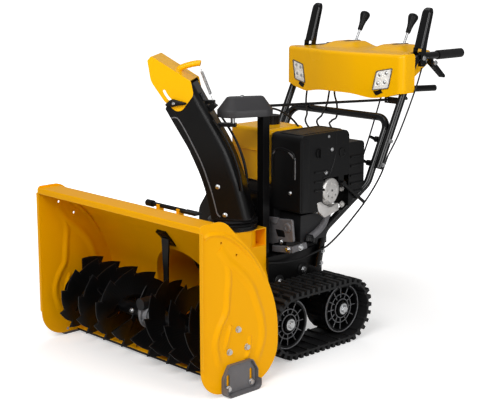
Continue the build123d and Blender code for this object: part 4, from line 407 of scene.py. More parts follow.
ribbons = [*(flight(math.radians(start)) for start in ribbon_angles),
           lathe((40, auger_y, auger_z), X, [(0, 24), (2, 26), (4, 26), (354, 26), (360, 26), (362, 24)])]
for start in ribbon_angles:
    for x in arm_places:
        angle = math.radians(start) + (x - ribbon_start) / ribbon_pitch * 2 * np.pi
        away = np.array([0, math.cos(angle), math.sin(angle)])
        ribbons.append(tube([np.array([x, auger_y, auger_z]) + away * r for r in (20, 40, 66, 84)],
                            (15, 13, 13, 10), up=X, flat=0.28))
make("auger_ribbons", ribbons + mirrored(ribbons), black_coat, "auger",
     replaced=("auger_flights",), sharp=30)


# Bolts, shafts, pulley, springs: zinc-plated steel, drawn or turned, with a pale grey blur.
# The first of them are the shear bolts that pin the ribbons' sleeves to the auger's shaft.
zinc = new_finish(
    "zinc_plated_steel", "#D2D3D4", 0.3, metallic=1.0,
    mottle=("#BEBFC1", "#E0E1E2", 0.012, (0.22, 0.38), 0.15, 0.0008))
coat_nodes(zinc, "impeller_shaft", "engine_pulley", "fasteners", "deflector_spring", "chute_gear")


def bolt(place, direction, size):
    """A washer and a chamfered six-sided head, both turned shapes, for a shank of the given radius."""
    place, direction = np.array(place, float), np.array(direction, float)
    washer = lathe(place - 0.6 * direction, direction, [(0, 2.3 * size), (0.9 + 0.3 * size, 2.3 * size)])
    head = lathe(place + (0.3 * size) * direction, direction,
                 [(0, 1.75 * size), (1.1 * size, 1.75 * size), (1.35 * size, 1.5 * size)], around=6)
    return [washer, head]


shear_bolts = []
for x in (74, 196, 318):
    for side in (1, -1):
        shear_bolts += bolt((side * x, auger_y - 26, auger_z), FORWARD, 4)
make("shear_bolts", shear_bolts, zinc, "auger")


# The worm gearbox: a sand-cast grey iron case in two halves, bolted round a flange. The case
# itself and the engine's block are castings with a thin black paint.
raw_casting = new_finish(
    "bare_cast_iron", "#77777A", 0.5, metallic=0.35,
    mottle=("#5C5C60", "#9A9A9D", 0.015, (0.4, 0.6), 0.6, 0.0022))
gearbox = [lathe((0, auger_y, auger_z), X, [(-37, 26), (-36, 30), (-20, 34), (-6, 44), (-5, 52), (5, 52),
                                            (6, 44), (20, 34), (36, 30), (37, 26)])]
for angle in np.radians((100, 150, 200, 250)):
    gearbox += bolt((5, auger_y + 46 * math.cos(angle), auger_z + 46 * math.sin(angle)), X, 3)
make("gearbox_flange", gearbox, raw_casting, "chassis")
casting = new_finish(
    "painted_casting", "#101012", 0.5, specular=0.4,
    mottle=("#0C0C0E", "#1A1A1C", 0.02, (0.42, 0.6), 0.6, 0.0022))
coat_nodes(casting, "auger_gearbox", "engine_block")


# Skid shoes: plasma-cut plate with a dark grey coat, slotted for two carriage bolts. Their
# edges are painted near black in a band 4 mm wide.
shoe_coat = new_finish(
    "grey_shoe_coat", "#6A686A", 0.45, specular=0.45,
    mottle=("#605E60", "#747274", 0.05, (0.38, 0.52), 0.3, 0.0014), edge_tint=("#0C0C0C", 0.004))
coat_nodes(shoe_coat, "skid_shoe_left", "skid_shoe_right")


# Chute: bent sheet with a bead along each front fold, rounder rear folds, dome-head bolts and a beaded
# foot. A strap and the spring's bracket are behind it. The front beads and the strap are painted mid
# grey as highlights. Places are given about the chute's own axis.
ring_low, ring_high = (corner * 1000 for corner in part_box("chute_ring"))
chute_x, chute_y = (ring_low.x + ring_high.x) / 2, (ring_low.y + ring_high.y) / 2
chute_yaw = math.radians(-52)
chute_across = np.array([math.cos(chute_yaw), math.sin(chute_yaw), 0.0])
chute_ahead = np.array([math.sin(chute_yaw), -math.cos(chute_yaw), 0.0])


def on_chute(places):
    """Points given as (side, reach, height) about the chute's axis, turned to where the chute points."""
    side, reach, height = np.array(places, float).T
    return np.stack([chute_x + side * math.cos(chute_yaw) + reach * math.sin(chute_yaw),
                     chute_y + side * math.sin(chute_yaw) - reach * math.cos(chute_yaw), height], 1)


def rounded(corners, cut):
    """A ring round the corners: each is a parabola, (1-s)^2 A + 2s(1-s) P + s^2 B, from A to B at the cut
    distance."""
    p = np.array(corners, float)
    cut = np.broadcast_to(cut, len(p))[:, None]
    before, after = p + cut * unit(np.roll(p, 1, 0) - p), p + cut * unit(np.roll(p, -1, 0) - p)
    s = np.linspace(0, 1, 5)[:, None, None]
    ring = (1 - s)**2 * before + 2 * s * (1 - s) * p + s**2 * after
    return ring.transpose(1, 0, 2).reshape(-1, 2)


def slab(ring, origin, across, up, levels):
    """A plate with shaped edges: the flat ring on the across and up directions, repeated at each (height,
    inset), where an inset moves each point in along the ring's own normal."""
    tangent = unit(np.roll(ring, -1, 0) - np.roll(ring, 1, 0))
    inward = np.stack([-tangent[:, 1], tangent[:, 0]], 1)
    after = np.roll(ring, -1, 0)
    if (ring[:, 0] * after[:, 1] - after[:, 0] * ring[:, 1]).sum() < 0:
        inward = -inward
    height, inset = np.array(levels, float).T[:, :, None, None]
    flat = ring + inset * inward
    across, up = np.array(across, float), np.array(up, float)
    return (np.array(origin, float) + flat[..., :1] * across + flat[..., 1:] * up
            + height * np.cross(across, up))


front_fold = [(199, 817), (184, 818), (172, 808), (149.6, 770), (123.7, 719), (97.6, 665), (78, 610),
              (62, 560), (48, 505), (43, 488), (34, 478)]
rear_fold = [(60, 811), (40, 783), (14, 741), (-10, 690), (-28, 630), (-37, 570)]
front_side, rear_side, bolt_side = 74.6, 68.5, 72
beads, rear_beads, chute_bolts = [], [], []
for side in (1, -1):
    line = curve([(side * front_side, reach, height) for reach, height in front_fold])
    beads.append(tube(on_chute(line), 2.2, up=chute_across, flat=0.55, around=8))
    line = curve([(side * rear_side, reach - 4, height) for reach, height in rear_fold])
    rear_beads.append(tube(on_chute(line), np.linspace(3.6, 5.4, len(line)), up=chute_across, around=10))
    for reach, height in ((42.0, 582.3), (16.8, 484.0)):
        seat = on_chute([(side * bolt_side, reach, height)])[0]
        chute_bolts.append(lathe(seat, side * chute_across,
                                 [(0, 9), (1.5, 9), (3, 7.6), (4.6, 5), (5.2, 2.4)]))
# The front beads' grey is a painted highlight.
make("chute_beads", beads, highlight_grey_coat, "chute")
make("chute_rear_folds", rear_beads, black_coat, "chute")

strap_half, ripple_height, ripples = 5.2, 0.8, 26
strap = curve([(30, 106, 900), (30, 99, 888), (30, 91, 872)], 40)
ripple = strap_half + ripple_height * np.cos(np.linspace(0, 2 * np.pi * ripples, len(strap)))
# The strap's grey is a painted highlight.
make("chute_back_strap", [tube(on_chute(strap), ripple, up=chute_across, flat=2.2)], highlight_grey_coat, "chute")
guide = slab(rounded([(91, 845), (70, 864), (52, 852), (76, 829)], 3), on_chute([(16, 0, 0)])[0],
             chute_ahead, Z, [(0, 1), (1, 0), (31, 0), (32, 1)])
make("chute_spring_bracket", [guide], black_coat, "chute")
foot_beads = [(0, 78), (2, 84), (6, 88), (10, 85), (12, 80), (14, 84), (18, 88), (22, 85), (24, 79),
              (26, 76)]
foot = lathe(on_chute([(0, 0, ring_high.z)])[0], Z, foot_beads, around=48)
make("chute_foot_beads", [foot], black_coat, "chute")
make("chute_bolts", chute_bolts, zinc, "chute")


# Deflector arm and spring: a flattened yellow tongue on the deflector, and a close-wound wire
# spring from it to the bracket behind the chute. The deflector, console and tank have a glossy yellow.
yellow_gloss = new_finish(
    "glossy_yellow", "#FFBC00", 0.26, specular=0.2,
    mottle=("#FCB600", "#FFC000", 0.3, (0.22, 0.3), 0.06, 0.0014))
coat_nodes(yellow_gloss, "dashboard", "deflector", "fuel_tank")
arm_radius = 10.5
arm = curve([(0, 190, 972), (0, 178, 981), (0, 160, 988), (0, 137, 994), (0, 118, 997), (0, 111, 996)])
make("deflector_arm", [tube(on_chute(arm), arm_radius, up=chute_across, around=16, flat=1.15)],
     yellow_gloss, "deflector")


def coil(start, end, radius, wire, turns):
    """A close-wound spring: a circle of the wire's radius carried along a helix from start to end."""
    start, end = np.array(start, float), np.array(end, float)
    along = unit(end - start)
    across = unit(np.cross(along, chute_across))
    rise = np.cross(along, across)
    turn = np.linspace(0, 2 * np.pi * turns, int(turns * 14))[:, None]
    helix = (start + (end - start) * turn / turn[-1]
             + radius * (np.cos(turn) * across + np.sin(turn) * rise))
    return tube(helix, wire, up=along, around=6)


coil_radius, coil_wire, coil_turns, hook_wire = 4.8, 1.3, 24, 1.6
spring_ends = on_chute([(0, 110, 979), (0, 107.5, 969), (0, 77, 892), (0, 64, 857)])
spring = [coil(spring_ends[1], spring_ends[2], coil_radius, coil_wire, coil_turns),
          tube(curve([spring_ends[0], spring_ends[1]]), hook_wire, up=chute_across),
          tube(curve([spring_ends[2], spring_ends[3]]), hook_wire, up=chute_across)]
spring = make("tension_spring", spring, zinc, None, replaced=("deflector_spring",))
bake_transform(spring)


# Hood over the chute's gear: a paler grey cap that tapers to a flat top. It and the other moulded
# covers, knobs and levers are polypropylene with a spark-eroded grain 1.2 mm across.
black_mould = new_finish(
    "moulded_black_polypropylene", "#0A0A0B", 0.4, specular=0.2,
    mottle=("#080809", "#0D0D0E", 0.08, (0.36, 0.48), 0.35, 0.0012))
coat_nodes(black_mould, "deflector_knob_left", "deflector_knob_right", "front_wheel_left",
           "front_wheel_right", "rear_wheel_left", "rear_wheel_right", "fuel_cap", "carburetor_cover",
           "choke_knob", "starter_grip", "oil_filler", "handle_knobs", "steering_trigger_left",
           "steering_trigger_right", "speed_lever", "deflector_lever", "clean_out_tool")
grey_mould = new_finish(
    "dark_grey_polypropylene", "#2E2D2F", 0.5, specular=0.4,
    mottle=("#2A292B", "#343335", 0.08, (0.44, 0.56), 0.35, 0.0012))
coat_nodes(grey_mould, "chute_gear_cover")


def teardrop(radius, tail, reach, inset):
    """A ring round two circles at both ends of a line, radius here and tail at the reach, less an inset:
    the support function's larger end, so the sides are the circles' shared tangents."""
    turn = np.linspace(0, 2 * np.pi, 40, endpoint=False)
    lean = np.arccos(np.clip((radius - tail) / reach, -1, 1))
    far = np.abs((turn + np.pi) % (2 * np.pi) - np.pi) < lean
    r = np.where(far, tail, radius) - inset
    return np.stack([np.where(far, reach, 0) + r * np.cos(turn), r * np.sin(turn)], 1)


hood_radius, tail_radius, hood_bolt_reach, hood_bolt_z = 54, 44, 34, 883
tail_run = np.array([119 - chute_x, -169 - chute_y, 0.0])
tail_reach = float(np.linalg.norm(tail_run))
tail_run = tail_run / tail_reach
tail_side = np.cross(Z, tail_run)
hood = []
for height, inset in ((816, 2), (816.5, 0.4), (819, 0), (838, 0), (841, 1), (844, 4), (879, 30),
                      (882.5, 34), (884, 40)):
    ring = teardrop(hood_radius, tail_radius, tail_reach - 12, inset)
    hood.append(np.array([chute_x, chute_y, 0]) + ring[:, :1] * tail_run + ring[:, 1:] * tail_side
                + np.array([0, 0, height]))
make("gear_hood", [np.array(hood)], grey_mould, "chassis", replaced=("chute_gear_cover",),
     sharp=50)
hood_bolt = np.array([chute_x, chute_y, hood_bolt_z]) + hood_bolt_reach * tail_run
make("gear_hood_bolt", bolt(hood_bolt, Z, 3.4), zinc, "chassis")


# Wing knobs that clamp the deflector: pointed wings across a domed centre with a steel stud.
# Each turns on its own pin, so it rides on the knob's body.
wing = rounded([(-44, 2), (-16, 9), (0, 14), (13, 11), (30, -5), (26, -11), (6, -13), (-12, -9), (-42, -4)],
               (2, 6, 5, 5, 2, 2, 6, 6, 2))
wing_levels = [(0, 3), (1, 1), (4, 0), (9, 0), (12, 1.6), (13, 4)]
knob_side, knob_reach, knob_z = 79.5, 188, 868.7
for side, name in ((1, "left"), (-1, "right")):
    seat = on_chute([(side * knob_side, knob_reach, knob_z)])[0]
    grip = slab(wing, seat, chute_ahead, Z, [(-side * height, inset) for height, inset in wing_levels])
    cap = lathe(seat, side * chute_across, [(10, 11), (13, 10.6), (15.5, 8), (16, 6)])
    stud = lathe(seat, side * chute_across, [(14, 5), (17.2, 5), (18, 4)])
    make(f"wing_knob_{name}", [grip, cap], black_mould, f"knob_{name}",
         replaced=(f"deflector_knob_{name}",))
    make(f"wing_stud_{name}", [stud], zinc, f"knob_{name}")


# Wheels of the tracks: a washer and nut on each axle, and grey highlights painted along the edges of
# rim, ring and spokes.
# The track belts, drive belt, grips and cable sleeves are black rubber, dull and slightly dusty.
rubber = new_finish(
    "moulded_rubber", "#0D0D0E", 0.62, specular=0.35,
    mottle=("#090909", "#19191B", 0.03, (0.5, 0.72), 0.4, 0.0018))
coat_nodes(rubber, "track_left", "track_right", "drive_belt", "grips", "control_cables")
belt_low, belt_high = (corner * 1000 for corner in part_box("track_left"))
axle_z = (belt_low.z + belt_high.z) / 2
wheel_edges = ((311.5, 85.4, 2.4), (306.5, 52.2, 1.7), (310.5, 34.2, 1.9))
spoke_x, spoke_radii, spoke_wire = 304.2, (37, 50, 66, 82), 1.7
for end in ("front", "rear"):
    for side, name in ((1, "left"), (-1, "right")):
        low, high = (corner * 1000 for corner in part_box(f"{end}_wheel_{name}"))
        wheel_y = (low.y + high.y) / 2 if end == "front" else belt_high.y - axle_z
        hub = [lathe((318, wheel_y, axle_z), X, [(0, 20), (2, 20), (3, 17), (3, 15)]),
               lathe((320, wheel_y, axle_z), X, [(0, 13.5), (7, 13.5), (9, 11.5)], around=6)]
        rings = [tube([(x, wheel_y + radius * math.cos(a), axle_z + radius * math.sin(a))
                       for a in np.linspace(0, 2 * np.pi, 61)], wire, up=X, around=8)
                 for x, radius, wire in wheel_edges]
        for a in np.radians(np.arange(0, 360, 30)):
            spoke = np.array([0, math.cos(a), math.sin(a)])
            rings.append(tube([np.array([spoke_x, wheel_y, axle_z]) + spoke * r for r in spoke_radii],
                              spoke_wire, up=X, around=8))
        make(f"hub_{end}_{name}", sided(hub, side), zinc,
             "chassis" if end == "front" else f"rear_wheel_{name}")
        make(f"wheel_rings_{end}_{name}", sided(rings, side), highlight_grey_coat, f"{end}_wheel_{name}")


# Washers and bolts of the frame: under the deck, each side plate has two large bolts on black
# domed washers.
washer_x, frame_bolt_x = 165.2, 171.4
washers, large_bolts = [], []
for y, z in ((-136, 223), (-16, 246)):
    washers.append(lathe((washer_x, y, z), X, [(0, 23), (2, 23.5), (4, 21), (6, 14), (6.4, 8)], around=36))
    large_bolts += bolt((frame_bolt_x, y, z), X, 5)
make("frame_washers", washers + mirrored(washers), black_mould, "chassis")
make("frame_bolts", large_bolts + mirrored(large_bolts), zinc, "chassis")


# Console: one vacuum-formed yellow cover with two cowls for the selector levers. Each cross section
# runs up the front, over the deck, down the rear edge and back underneath. From the knees outwards the
# front falls back to the rounded ends.
def smooth(value):
    """A step that eases from 0 to 1: 3 t^2 - 2 t^3 of the clipped value."""
    value = np.clip(value, 0, 1)
    return value**2 * (3 - 2 * value)


console_half = (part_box("dashboard")[1] * 1000).x
end_radius, edge_radius = 22, 13
deck_z, cowl_height = 1002, 20
knee_x, knee_y, end_y = 172, 346, 369
x = np.concatenate([-console_half + end_radius * (1 - np.cos(np.linspace(0.02, np.pi / 2, 10))),
                    np.linspace(-console_half + 24, console_half - 24, 150),
                    console_half - end_radius * (1 - np.cos(np.linspace(np.pi / 2, 0.02, 10)))])
reach = np.abs(x)
front = np.interp(reach, (0, 60, knee_x, console_half), (322, 322, knee_y, end_y))
front = np.convolve(np.pad(front, 12, mode="edge"), np.ones(25) / 25, mode="valid")
corner = np.clip((reach - (console_half - end_radius)) / end_radius, 0, 1)
front = (front + end_radius * (1 - np.sqrt(1 - corner**2 * 0.998)))[:, None]
rear = np.interp(reach, (0, 226, 250, console_half - 6, console_half), (618, 618, 448, 444, 438))[:, None]
lower = (849 + 10 * smooth((reach - 230) / 60) - 13 * np.exp(-((reach - 168) / 62) ** 2))[:, None]
up_front = np.linspace(0, 1, 12)
round_edge = np.linspace(0, np.pi / 2, 7)
over_deck = np.linspace(0, 1, 40)
underneath = np.linspace(0, 1, 14)
y_front = front + 0 * up_front
z_front = lower + 3 + (deck_z - edge_radius - lower - 3) * up_front
y_turn = front + edge_radius * (1 - np.cos(round_edge))
z_turn = deck_z - edge_radius + edge_radius * np.sin(round_edge) + 0 * y_turn
y_deck = front + edge_radius + 2 + (rear - front - 2 * edge_radius - 4) * over_deck
cowl = 0
for middle, width in ((-122, 100), (126, 98)):
    across = 1 - np.abs(x[:, None] - middle) / width
    cowl = cowl + smooth(across / 0.62) * smooth((y_deck - 425) / 90) * smooth((626 - y_deck) / 40)
z_deck = deck_z + cowl_height * cowl
y_back = rear - edge_radius + edge_radius * np.sin(round_edge)
z_back = deck_z - edge_radius + edge_radius * np.cos(round_edge) + 0 * y_back
y_under = rear + (front - rear) * underneath
z_under = np.where(y_under < 450, lower, np.interp(y_under, (448, 456, 626), (850, 886, 964)))
ring_y = np.hstack([y_front, y_turn, y_deck, y_back, y_under])
ring_z = np.hstack([z_front, z_turn, z_deck, z_back, z_under])
cover = np.dstack([np.broadcast_to(x[:, None], ring_y.shape), ring_y, ring_z])
make("console_cover", [cover], yellow_gloss, "chassis", replaced=("dashboard",), sharp=40)


# Headlights: smoked frames, reflector trays painted near white as their mirror's reflection, and four
# domed lenses each, with a small plate below. They sit flat on the console's front, outside its knees.
bezel = new_finish(
    "smoked_lamp_frame", "#4A453F", 0.25,
    mottle=("#443F39", "#544F48", 0.02, (0.2, 0.3), 0.1, 0.001))
coat_nodes(bezel, "headlights")
# Near white without metal: a painted reflection standing for the aluminised mirror.
reflection_white = new_finish(
    "painted_reflection_white", "#FFFDF8", 0.24,
    mottle=("#F4EFE6", "#FFFFFC", 0.006, (0.15, 0.3), 0.1, 0.001))
lamp_x, lamp_z, plate_drop = 212.0, 907.0, -55.0
lamp_turn = math.atan2(end_y - knee_y, console_half - knee_x)
lamp_across = np.array([math.cos(lamp_turn), math.sin(lamp_turn), 0.0])
lamp_out = np.cross(lamp_across, Z)
lamp_seat = np.array([lamp_x, knee_y + (lamp_x - knee_x) * math.tan(lamp_turn), lamp_z])
lamp_quad = rounded([(-43, -43), (27, -32), (43, 45), (-26, 31)], 7)
lamp_rim = slab(lamp_quad, lamp_seat, lamp_across, Z,
                [(-4, 0), (3.2, 0), (4.4, 1.0), (4.4, 2.2), (0.6, 3.2)])
tray = [slab(lamp_quad, lamp_seat, lamp_across, Z, [(-1, 3.2), (1.2, 3.2), (1.6, 4.0)])]
lenses = []
for u, v in ((-11, 17), (17, 24), (-18, -15), (10, -9)):
    place = lamp_seat + u * lamp_across + np.array([0, 0, v])
    tray.append(lathe(place, lamp_out, [(0.8, 12), (3.6, 12.4), (4.0, 11.4), (1.9, 7.4), (1.7, 6)]))
    lenses.append(lathe(place, lamp_out, [(1.6, 6.4), (3.4, 6), (4.8, 4.2), (5.4, 2)]))
plate = slab(rounded([(-25, -6), (2, 6), (-4, 17), (-38, 9)], 2), lamp_seat + np.array([0, 0, plate_drop]),
             lamp_across, Z, [(-3, 0), (1.6, 0), (2.4, 0.8)])
for side, name in ((1, "left"), (-1, "right")):
    make(f"lamp_frame_{name}", sided([lamp_rim], side), bezel, "chassis",
         replaced=("headlights",) if side == 1 else ())
    make(f"lamp_tray_{name}", sided(tray, side), reflection_white, "chassis")
    make(f"lamp_lenses_{name}", sided(lenses, side), zinc, "chassis")
    make(f"lamp_switch_{name}", sided([plate], side), black_mould, "chassis")


# Selector levers: zinc rods under tapered moulded knobs, each through a flat black boot in the top
# of its cowl. The rods lean back from upright.
lever_x, lever_foot_y, lever_foot_z, boot_z = 122.0, 550.0, 955.0, 1021.5
lever_lean = math.radians(28)
lean = np.array([0, math.sin(lever_lean), math.cos(lever_lean)])
for side, name in ((1, "speed_lever"), (-1, "deflector_lever")):
    foot = np.array([side * lever_x, lever_foot_y, lever_foot_z])
    rod = lathe(foot, lean, [(0, 5), (136, 5)])
    hub = lathe(foot - (8, 0, 0), X, [(0, 10), (16, 10)])
    pin = lathe(foot - (18, 0, 0), X, [(0, 4), (36, 4)])
    knob = lathe(foot, lean, [(120, 8), (122, 9.5), (140, 10.5), (158, 13), (172, 17), (182, 19.6),
                              (189, 20), (195, 18), (199, 12), (200.4, 5)], around=36)
    make(f"{name}_rod", [rod, hub, pin], zinc, name, replaced=(name,))
    make(f"{name}_knob", [knob], black_mould, name)
boot = rounded([(-10, 516), (10, 516), (10, 606), (-10, 606)], 9)
boots = [slab(boot, (side * lever_x, 0, boot_z), X, Y, [(-3, 0), (0.9, 0), (1.6, 1.4), (1.6, 5)])
         for side in (1, -1)]
make("lever_boots", boots, black_mould, "chassis")


# Clutch paddles and their clamps on the handles: folded sheet, round at the tip, on two flat ears.
# Like the handles they have a dipped gloss coat.
gloss_black = new_finish(
    "gloss_black_dip", "#060607", 0.16, specular=0.36,
    mottle=("#060607", "#0B0B0C", 0.05, (0.12, 0.22), 0.1, 0.001))
coat_nodes(gloss_black, "upper_handles", "lower_handle")
paddle_lean = math.radians(18)
along = np.array([0, math.sin(paddle_lean), math.cos(paddle_lean)])
outwards = np.array([0, -along[2], along[1]])
sheet_thickness = 2.5


def channel(places, half, web, back, bend):
    """A bent channel: for each place along it, the section runs up one flange to the web, round a bend of
    the given radius, across and down; the rings are the sheet's edges, outside forward and inside back."""
    sections = []
    for inset in (0, sheet_thickness):
        wide, high = half - inset, web - inset
        radius = np.minimum(bend - inset, np.minimum(wide, high - back) * 0.9)
        turn = np.linspace(0, np.pi / 2, 6)[:, None]
        x = np.vstack([wide, wide - radius * (1 - np.cos(turn)), (wide - radius) * 0.4])
        n = np.vstack([back, high - radius * (1 - np.sin(turn)), high])
        sections.append(np.stack([np.vstack([x, -x[::-1]]), np.vstack([n, n[::-1]])], -1))
    section = np.hstack([sections[0], sections[1][:, ::-1]])
    run = np.append(places, places[::-1])
    return section[..., :1] * np.array(X) + section[..., 1:] * outwards + run[:, None] * along


grip_x, paddle_y, paddle_z = 278.3, 482, 983
trigger_y, trigger_z, clamp_y, clamp_z = 552, 962, 498, 988
ear_x, pivot_reach = 19.2, 23
tip_start, tip_length = 166, 23.0
places = np.concatenate([np.linspace(30, tip_start, 18),
                         tip_start + tip_length * np.sin(np.linspace(0.08, np.pi / 2, 10))])
tip = np.clip((places - tip_start) / 24, 0, 1)
sheet = channel(places, 20.5 * np.sqrt(1 - 0.72 * tip**2), 21 - 14 * (1 - np.sqrt(1 - 0.96 * tip**2)),
                np.interp(places, (12, 60, 190), (-9, -3, 2)), 8.0)
ear = rounded([(-24, -8), (-24, 8), (34, 21), (34, -6), (12, -10)], (7, 7, 3, 3, 10))
clamp = rounded([(-13, -34), (13, -34), (13, 0), (-13, 0)], 5)
pivot_bits, clamps = [], []
for side, name in ((1, "left"), (-1, "right")):
    pivot = np.array([side * grip_x, paddle_y, paddle_z])
    ears = [slab(ear, pivot + (x, 0, 0), along, outwards, [(-1.2, 0.4), (-0.8, 0), (0.8, 0), (1.2, 0.4)])
            for x in (-ear_x, ear_x)]
    make(f"paddle_{name}", [pivot + sheet, *ears], gloss_black, f"clutch_lever_{name}",
         replaced=(f"clutch_lever_{name}",))
    for y, z in ((paddle_y, paddle_z), (trigger_y, trigger_z)):
        pivot_bits += bolt((side * grip_x + pivot_reach, y, z), X, 4)
        pivot_bits += bolt((side * grip_x - pivot_reach, y, z), (-1, 0, 0), 4)
    clamps.append(lathe((side * grip_x, clamp_y, clamp_z), Y,
                        [(-12, 14.6), (-11, 17.1), (9, 17.1), (10, 14.6)]))
    clamps.append(slab(clamp, (side * grip_x - 9, 500, 984), Y, Z,
                       [(0, 1.5), (1.5, 0), (16.5, 0), (18, 1.5)]))
make("pivot_bolts", pivot_bits, zinc, "chassis")
make("handle_clamps", clamps, black_mould, "chassis")


# Carburettor cover: the raised arch on its front, a step, three vents and a round boss on its side, and
# a lid on top. Its edges carry painted grey highlights, a band wraps the front corner, and small screws
# hold it.
cover_low, cover_high = (corner * 1000 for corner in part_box("carburetor_cover"))
inner_x, outer_x, cover_y = cover_low.x, cover_high.x, cover_low.y
face_y = cover_y - 1
arch = curve([(inner_x + 5, face_y, 592), (inner_x + 5, face_y, 664), (inner_x + 18, face_y, 688),
              (inner_x + 48, face_y, 698), (inner_x + 88, face_y, 692), (inner_x + 112, face_y, 674),
              (inner_x + 112, face_y, 602)])
side_step = curve([(outer_x, 63, 742), (outer_x, 63, 694), (outer_x, 60, 656), (outer_x, 32, 600),
                   (outer_x, -4, 590)])
details = [tube(arch, 4.5, up=Y, flat=0.6), tube(side_step, 3.2, up=X, flat=0.6)]
for z, vent_end in ((613, 26), (579, 4), (548, 4)):
    vent = curve([(outer_x, -46, z + 1), (outer_x, -10, z), (outer_x, vent_end, z - 1)])
    details.append(tube(vent, 4.4, up=X, flat=0.7))
details.append(lathe((outer_x - 1, 96, 671), X, [(0, 17), (3, 17), (4.4, 15.5), (4.4, 12), (2.4, 11)]))
lid = rounded([(inner_x + 14, cover_y + 16), (outer_x - 14, cover_y + 16),
               (outer_x - 14, cover_high.y - 18), (inner_x + 14, cover_high.y - 18)], 16)
details.append(slab(lid, (0, 0, cover_high.z - 3), X, Y,
                    [(0, 0), (3.0, 0), (5.0, 2.5), (5.0, 7), (2.4, 10)]))
make("carburetor_cover_details", details, black_mould, "chassis")
# Grey strips painted along the arch and the corner as highlights.
edges = [tube([(inner_x + 4, face_y, z) for z in (596, 630, 668)], 2.2, up=Y),
         tube([(inner_x + x, face_y, z) for x, z in ((4, 668), (14, 682), (22, 690))], 2.6, up=Y),
         tube([(inner_x + x, face_y, z) for x, z in ((86, 690), (100, 681), (116, 666))], 4.6, up=Y,
              flat=0.5),
         tube([(inner_x + 117, face_y, z) for z in (664, 630, 596)], 2.2, up=Y),
         tube([(outer_x - 2, cover_y + 3, z) for z in (730, 660, 590, 500)], 1.6, up=Y)]
make("cover_edge_lights", edges, highlight_grey_coat, "chassis")
band = slab(rounded([(-112, 480), (-72, 474), (-72, 730), (-88, 742), (-112, 746)], 4),
            (outer_x, 0, 0), Y, Z, [(-2, 0), (1.2, 1.5), (1.6, 3)])
make("carburetor_cover_band", [band], black_mould, "chassis")
screws = []
for y, z in ((41, 687), (11, 608)):
    screws += bolt((outer_x + 0.5, y, z), X, 3)
screws += bolt((203, cover_y - 0.5, 545), FORWARD, 3.4) + bolt((outer_x + 0.5, 24, 735), X, 2.2)
make("engine_screws", screws, zinc, "chassis")


# Fan shroud's louvres: rounded bars along its side and its rear, and a ring of short spokes over
# the starter's mouth, where the fan draws its air.
shroud_x, shroud_y, mouth_y, mouth_z = 250.5, 215.5, 207.5, 428
louvres = []
for z in (648, 615, 579, 550, 520):
    louvres.append(tube([(shroud_x, y, z) for y in np.linspace(142, 206, 8)], 5.0, up=X, flat=0.7))
    louvres.append(tube([(x, shroud_y, z + 20) for x in np.linspace(84, 226, 10)], 4.6, up=Y, flat=0.7))
for angle in np.linspace(0, 2 * np.pi, 18, endpoint=False):
    spoke = np.array([math.cos(angle), 0, math.sin(angle)])
    louvres.append(tube([np.array([0, mouth_y, mouth_z]) + spoke * r for r in np.linspace(40, 84, 6)], 3.4,
                        up=Y))
make("fan_louvres", louvres, black_mould, "chassis")


# Fuel tank's seam: the welded flange where the two halves of the moulding meet, all round the tank.
# It stands 2 mm out of the tank's sides.
tank_low, tank_high = (corner * 1000 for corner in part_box("fuel_tank"))
seam_x, seam_y = (tank_low.x - 2, tank_high.x + 2), (tank_low.y - 2, tank_high.y + 2)
seam_z = 675
seam = rounded([(seam_x[0], seam_y[0]), (seam_x[1], seam_y[0]), (seam_x[1], seam_y[1]),
                (seam_x[0], seam_y[1])], 22)
make("tank_seam", [slab(seam, (0, 0, seam_z), X, Y, [(0, 2), (1, 0), (4, 0), (5, 2)])], yellow_gloss,
     "chassis")


# Silencer: aluminised steel, dulled and stained by heat. A low dome with a ring of eight rivets
# closes its end, over a pressed skirt with two bolts.
hot_steel = new_finish(
    "aluminised_steel", "#C9C7C4", 0.38, metallic=0.6,
    mottle=("#B4B1AD", "#DEDCDA", 0.03, (0.28, 0.46), 0.2, 0.001))
coat_nodes(hot_steel, "muffler")
dome_x, dome_y, dome_z, rivet_ring = 252, 41, 540, 26
guard = [lathe((dome_x, dome_y, dome_z), X,
               [(-14, 44), (-6, 44), (-2, 41), (0, 34), (1.2, 24), (1.8, 12), (2, 4)], around=48)]
for a in np.linspace(0, 2 * np.pi, 8, endpoint=False):
    guard.append(lathe((dome_x, dome_y + rivet_ring * math.cos(a), dome_z + rivet_ring * math.sin(a)), X,
                       [(-1, 5), (1.6, 5), (2, 3)], around=16))
skirt_x = 249
skirt = rounded([(-34, 504), (-14, 506), (2, 494), (31, 482), (78, 490), (80, 464), (5, 446),
                 (-26, 472)], 5)
guard.append(slab(skirt, (skirt_x, 0, 0), Y, Z, [(-8, 0), (2.6, 0), (4, 2)]))
guard += bolt((232, 114, 534), X, 4.5) + bolt((232, 116, 476), X, 5)
make("silencer_guard", guard, hot_steel, "chassis")


# Under the engine: the die-cast crankcase with its window, its foot rail and its bolts, left bare
# and pale, and the oil filler's tube with its black cap.
half_bare = new_finish(
    "weathered_die_casting", "#6B696C", 0.5, metallic=0.35,
    mottle=("#4C4B4E", "#858487", 0.02, (0.42, 0.6), 0.5, 0.002))
crank_y = -115.0
crankcase = [
    slab(rounded([(89, 440), (213, 452), (222, 372), (167, 364), (109, 346), (90, 350)], 8),
         (0, crank_y, 0), X, Z, [(-2, 0), (4, 0), (6, 2)]),
    slab(rounded([(98, 446), (150, 450), (140, 424), (104, 430)], 6),
         (0, crank_y - 5, 0), X, Z, [(-2, 0), (5, 0), (7, 2)]),
    lathe((192, crank_y - 4, 420), FORWARD, [(0, 17), (5, 17), (6.5, 15), (6.5, 9), (3, 8)]),
    slab(rounded([(121, 322), (121, 345), (213, 355), (213, 332)], 4),
         (0, crank_y - 2, 0), X, Z, [(0, 0), (9, 0), (11, 2)]),
    slab(rounded([(-124, 332), (-124, 355), (-52, 361), (-46, 338)], 4),
         (212, 0, 0), Y, Z, [(0, 0), (6, 0), (8, 2)])]
make("crankcase_front", crankcase, half_bare, "chassis")
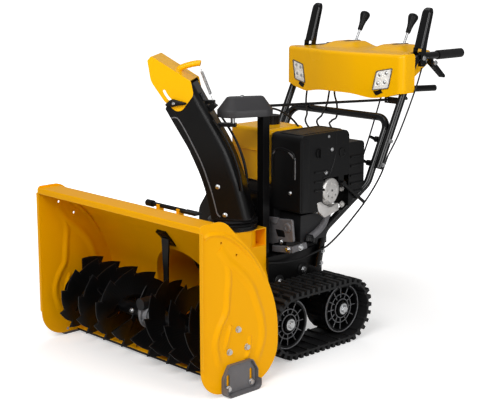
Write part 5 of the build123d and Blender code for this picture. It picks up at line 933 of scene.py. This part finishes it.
window = slab(rounded([(132, 406), (174, 407), (182, 383), (145, 381)], 4), (0, crank_y - 5.5, 0), X, Z,
              [(0, 0), (1.0, 0), (1.4, 1)])
make("crankcase_window", [window], black_mould, "chassis")
foot_bolts = (bolt((202, crank_y - 13, 345), FORWARD, 5) + bolt((160, crank_y - 6, 364), FORWARD, 4.4)
              + bolt((220, -84, 347), X, 5))
make("engine_foot_bolts", foot_bolts, zinc, "chassis")
filler = curve([(200, 70, 452), (208, 56, 428), (214, 30, 404), (217, -4, 386), (218, -36, 374)])
make("filler_tube", [tube(filler, np.linspace(15, 12.5, len(filler)), up=X, around=20)], half_bare,
     "chassis", replaced=("oil_filler",))
cap = lathe((216, -34, 377), (0.25, -0.35, -0.9),
            [(-6, 14), (0, 17), (5, 17), (7, 19), (19, 19), (21, 16.5)], lobes=8, depth=0.04)
make("filler_cap", [cap], black_mould, "chassis")


# Control cables beyond those in the frame: steel wire in black sleeves 7 to 8 mm thick. Three run from
# the console to the deck and one goes back from the chute's gear. On each side one more goes on from
# the paddle's cable, down to the front of the chassis.
sleeve_radius, drop_radius = 3.8, 3.4
cables = []
for points in (
        ((-194, 380, 837), (-166, 345, 795), (-127, 310, 755), (-93, 275, 715), (84, 222, 640)),
        ((-108, 425, 866), (-95, 400, 828), (-64, 355, 792), (-48, 310, 755), (-36, 275, 721),
         (150, 222, 640)),
        ((-86, 425, 866), (-66, 400, 827), (-21, 365, 791), (9, 330, 751), (2, 310, 737), (18, 290, 717),
         (190, 226, 640)),
        ((110, -148, 836), (105, -98, 829), (100, -48, 810), (98, -5, 784), (96, 33, 751))):
    cables.append(tube(curve(points, 10), sleeve_radius, up=X))
drop = curve(((299, 290, 640), (287, 262, 566), (258, 226, 484), (222, 190, 412), (206, 140, 360),
              (200, 85, 325), (200, 48, 315), (196, -4, 304), (190, -51, 294), (184, -127, 293),
              (176, -196, 302)), 10)
drop = [tube(drop, drop_radius, up=X)]
make("extra_cables", cables + drop + mirrored(drop), rubber, "chassis")
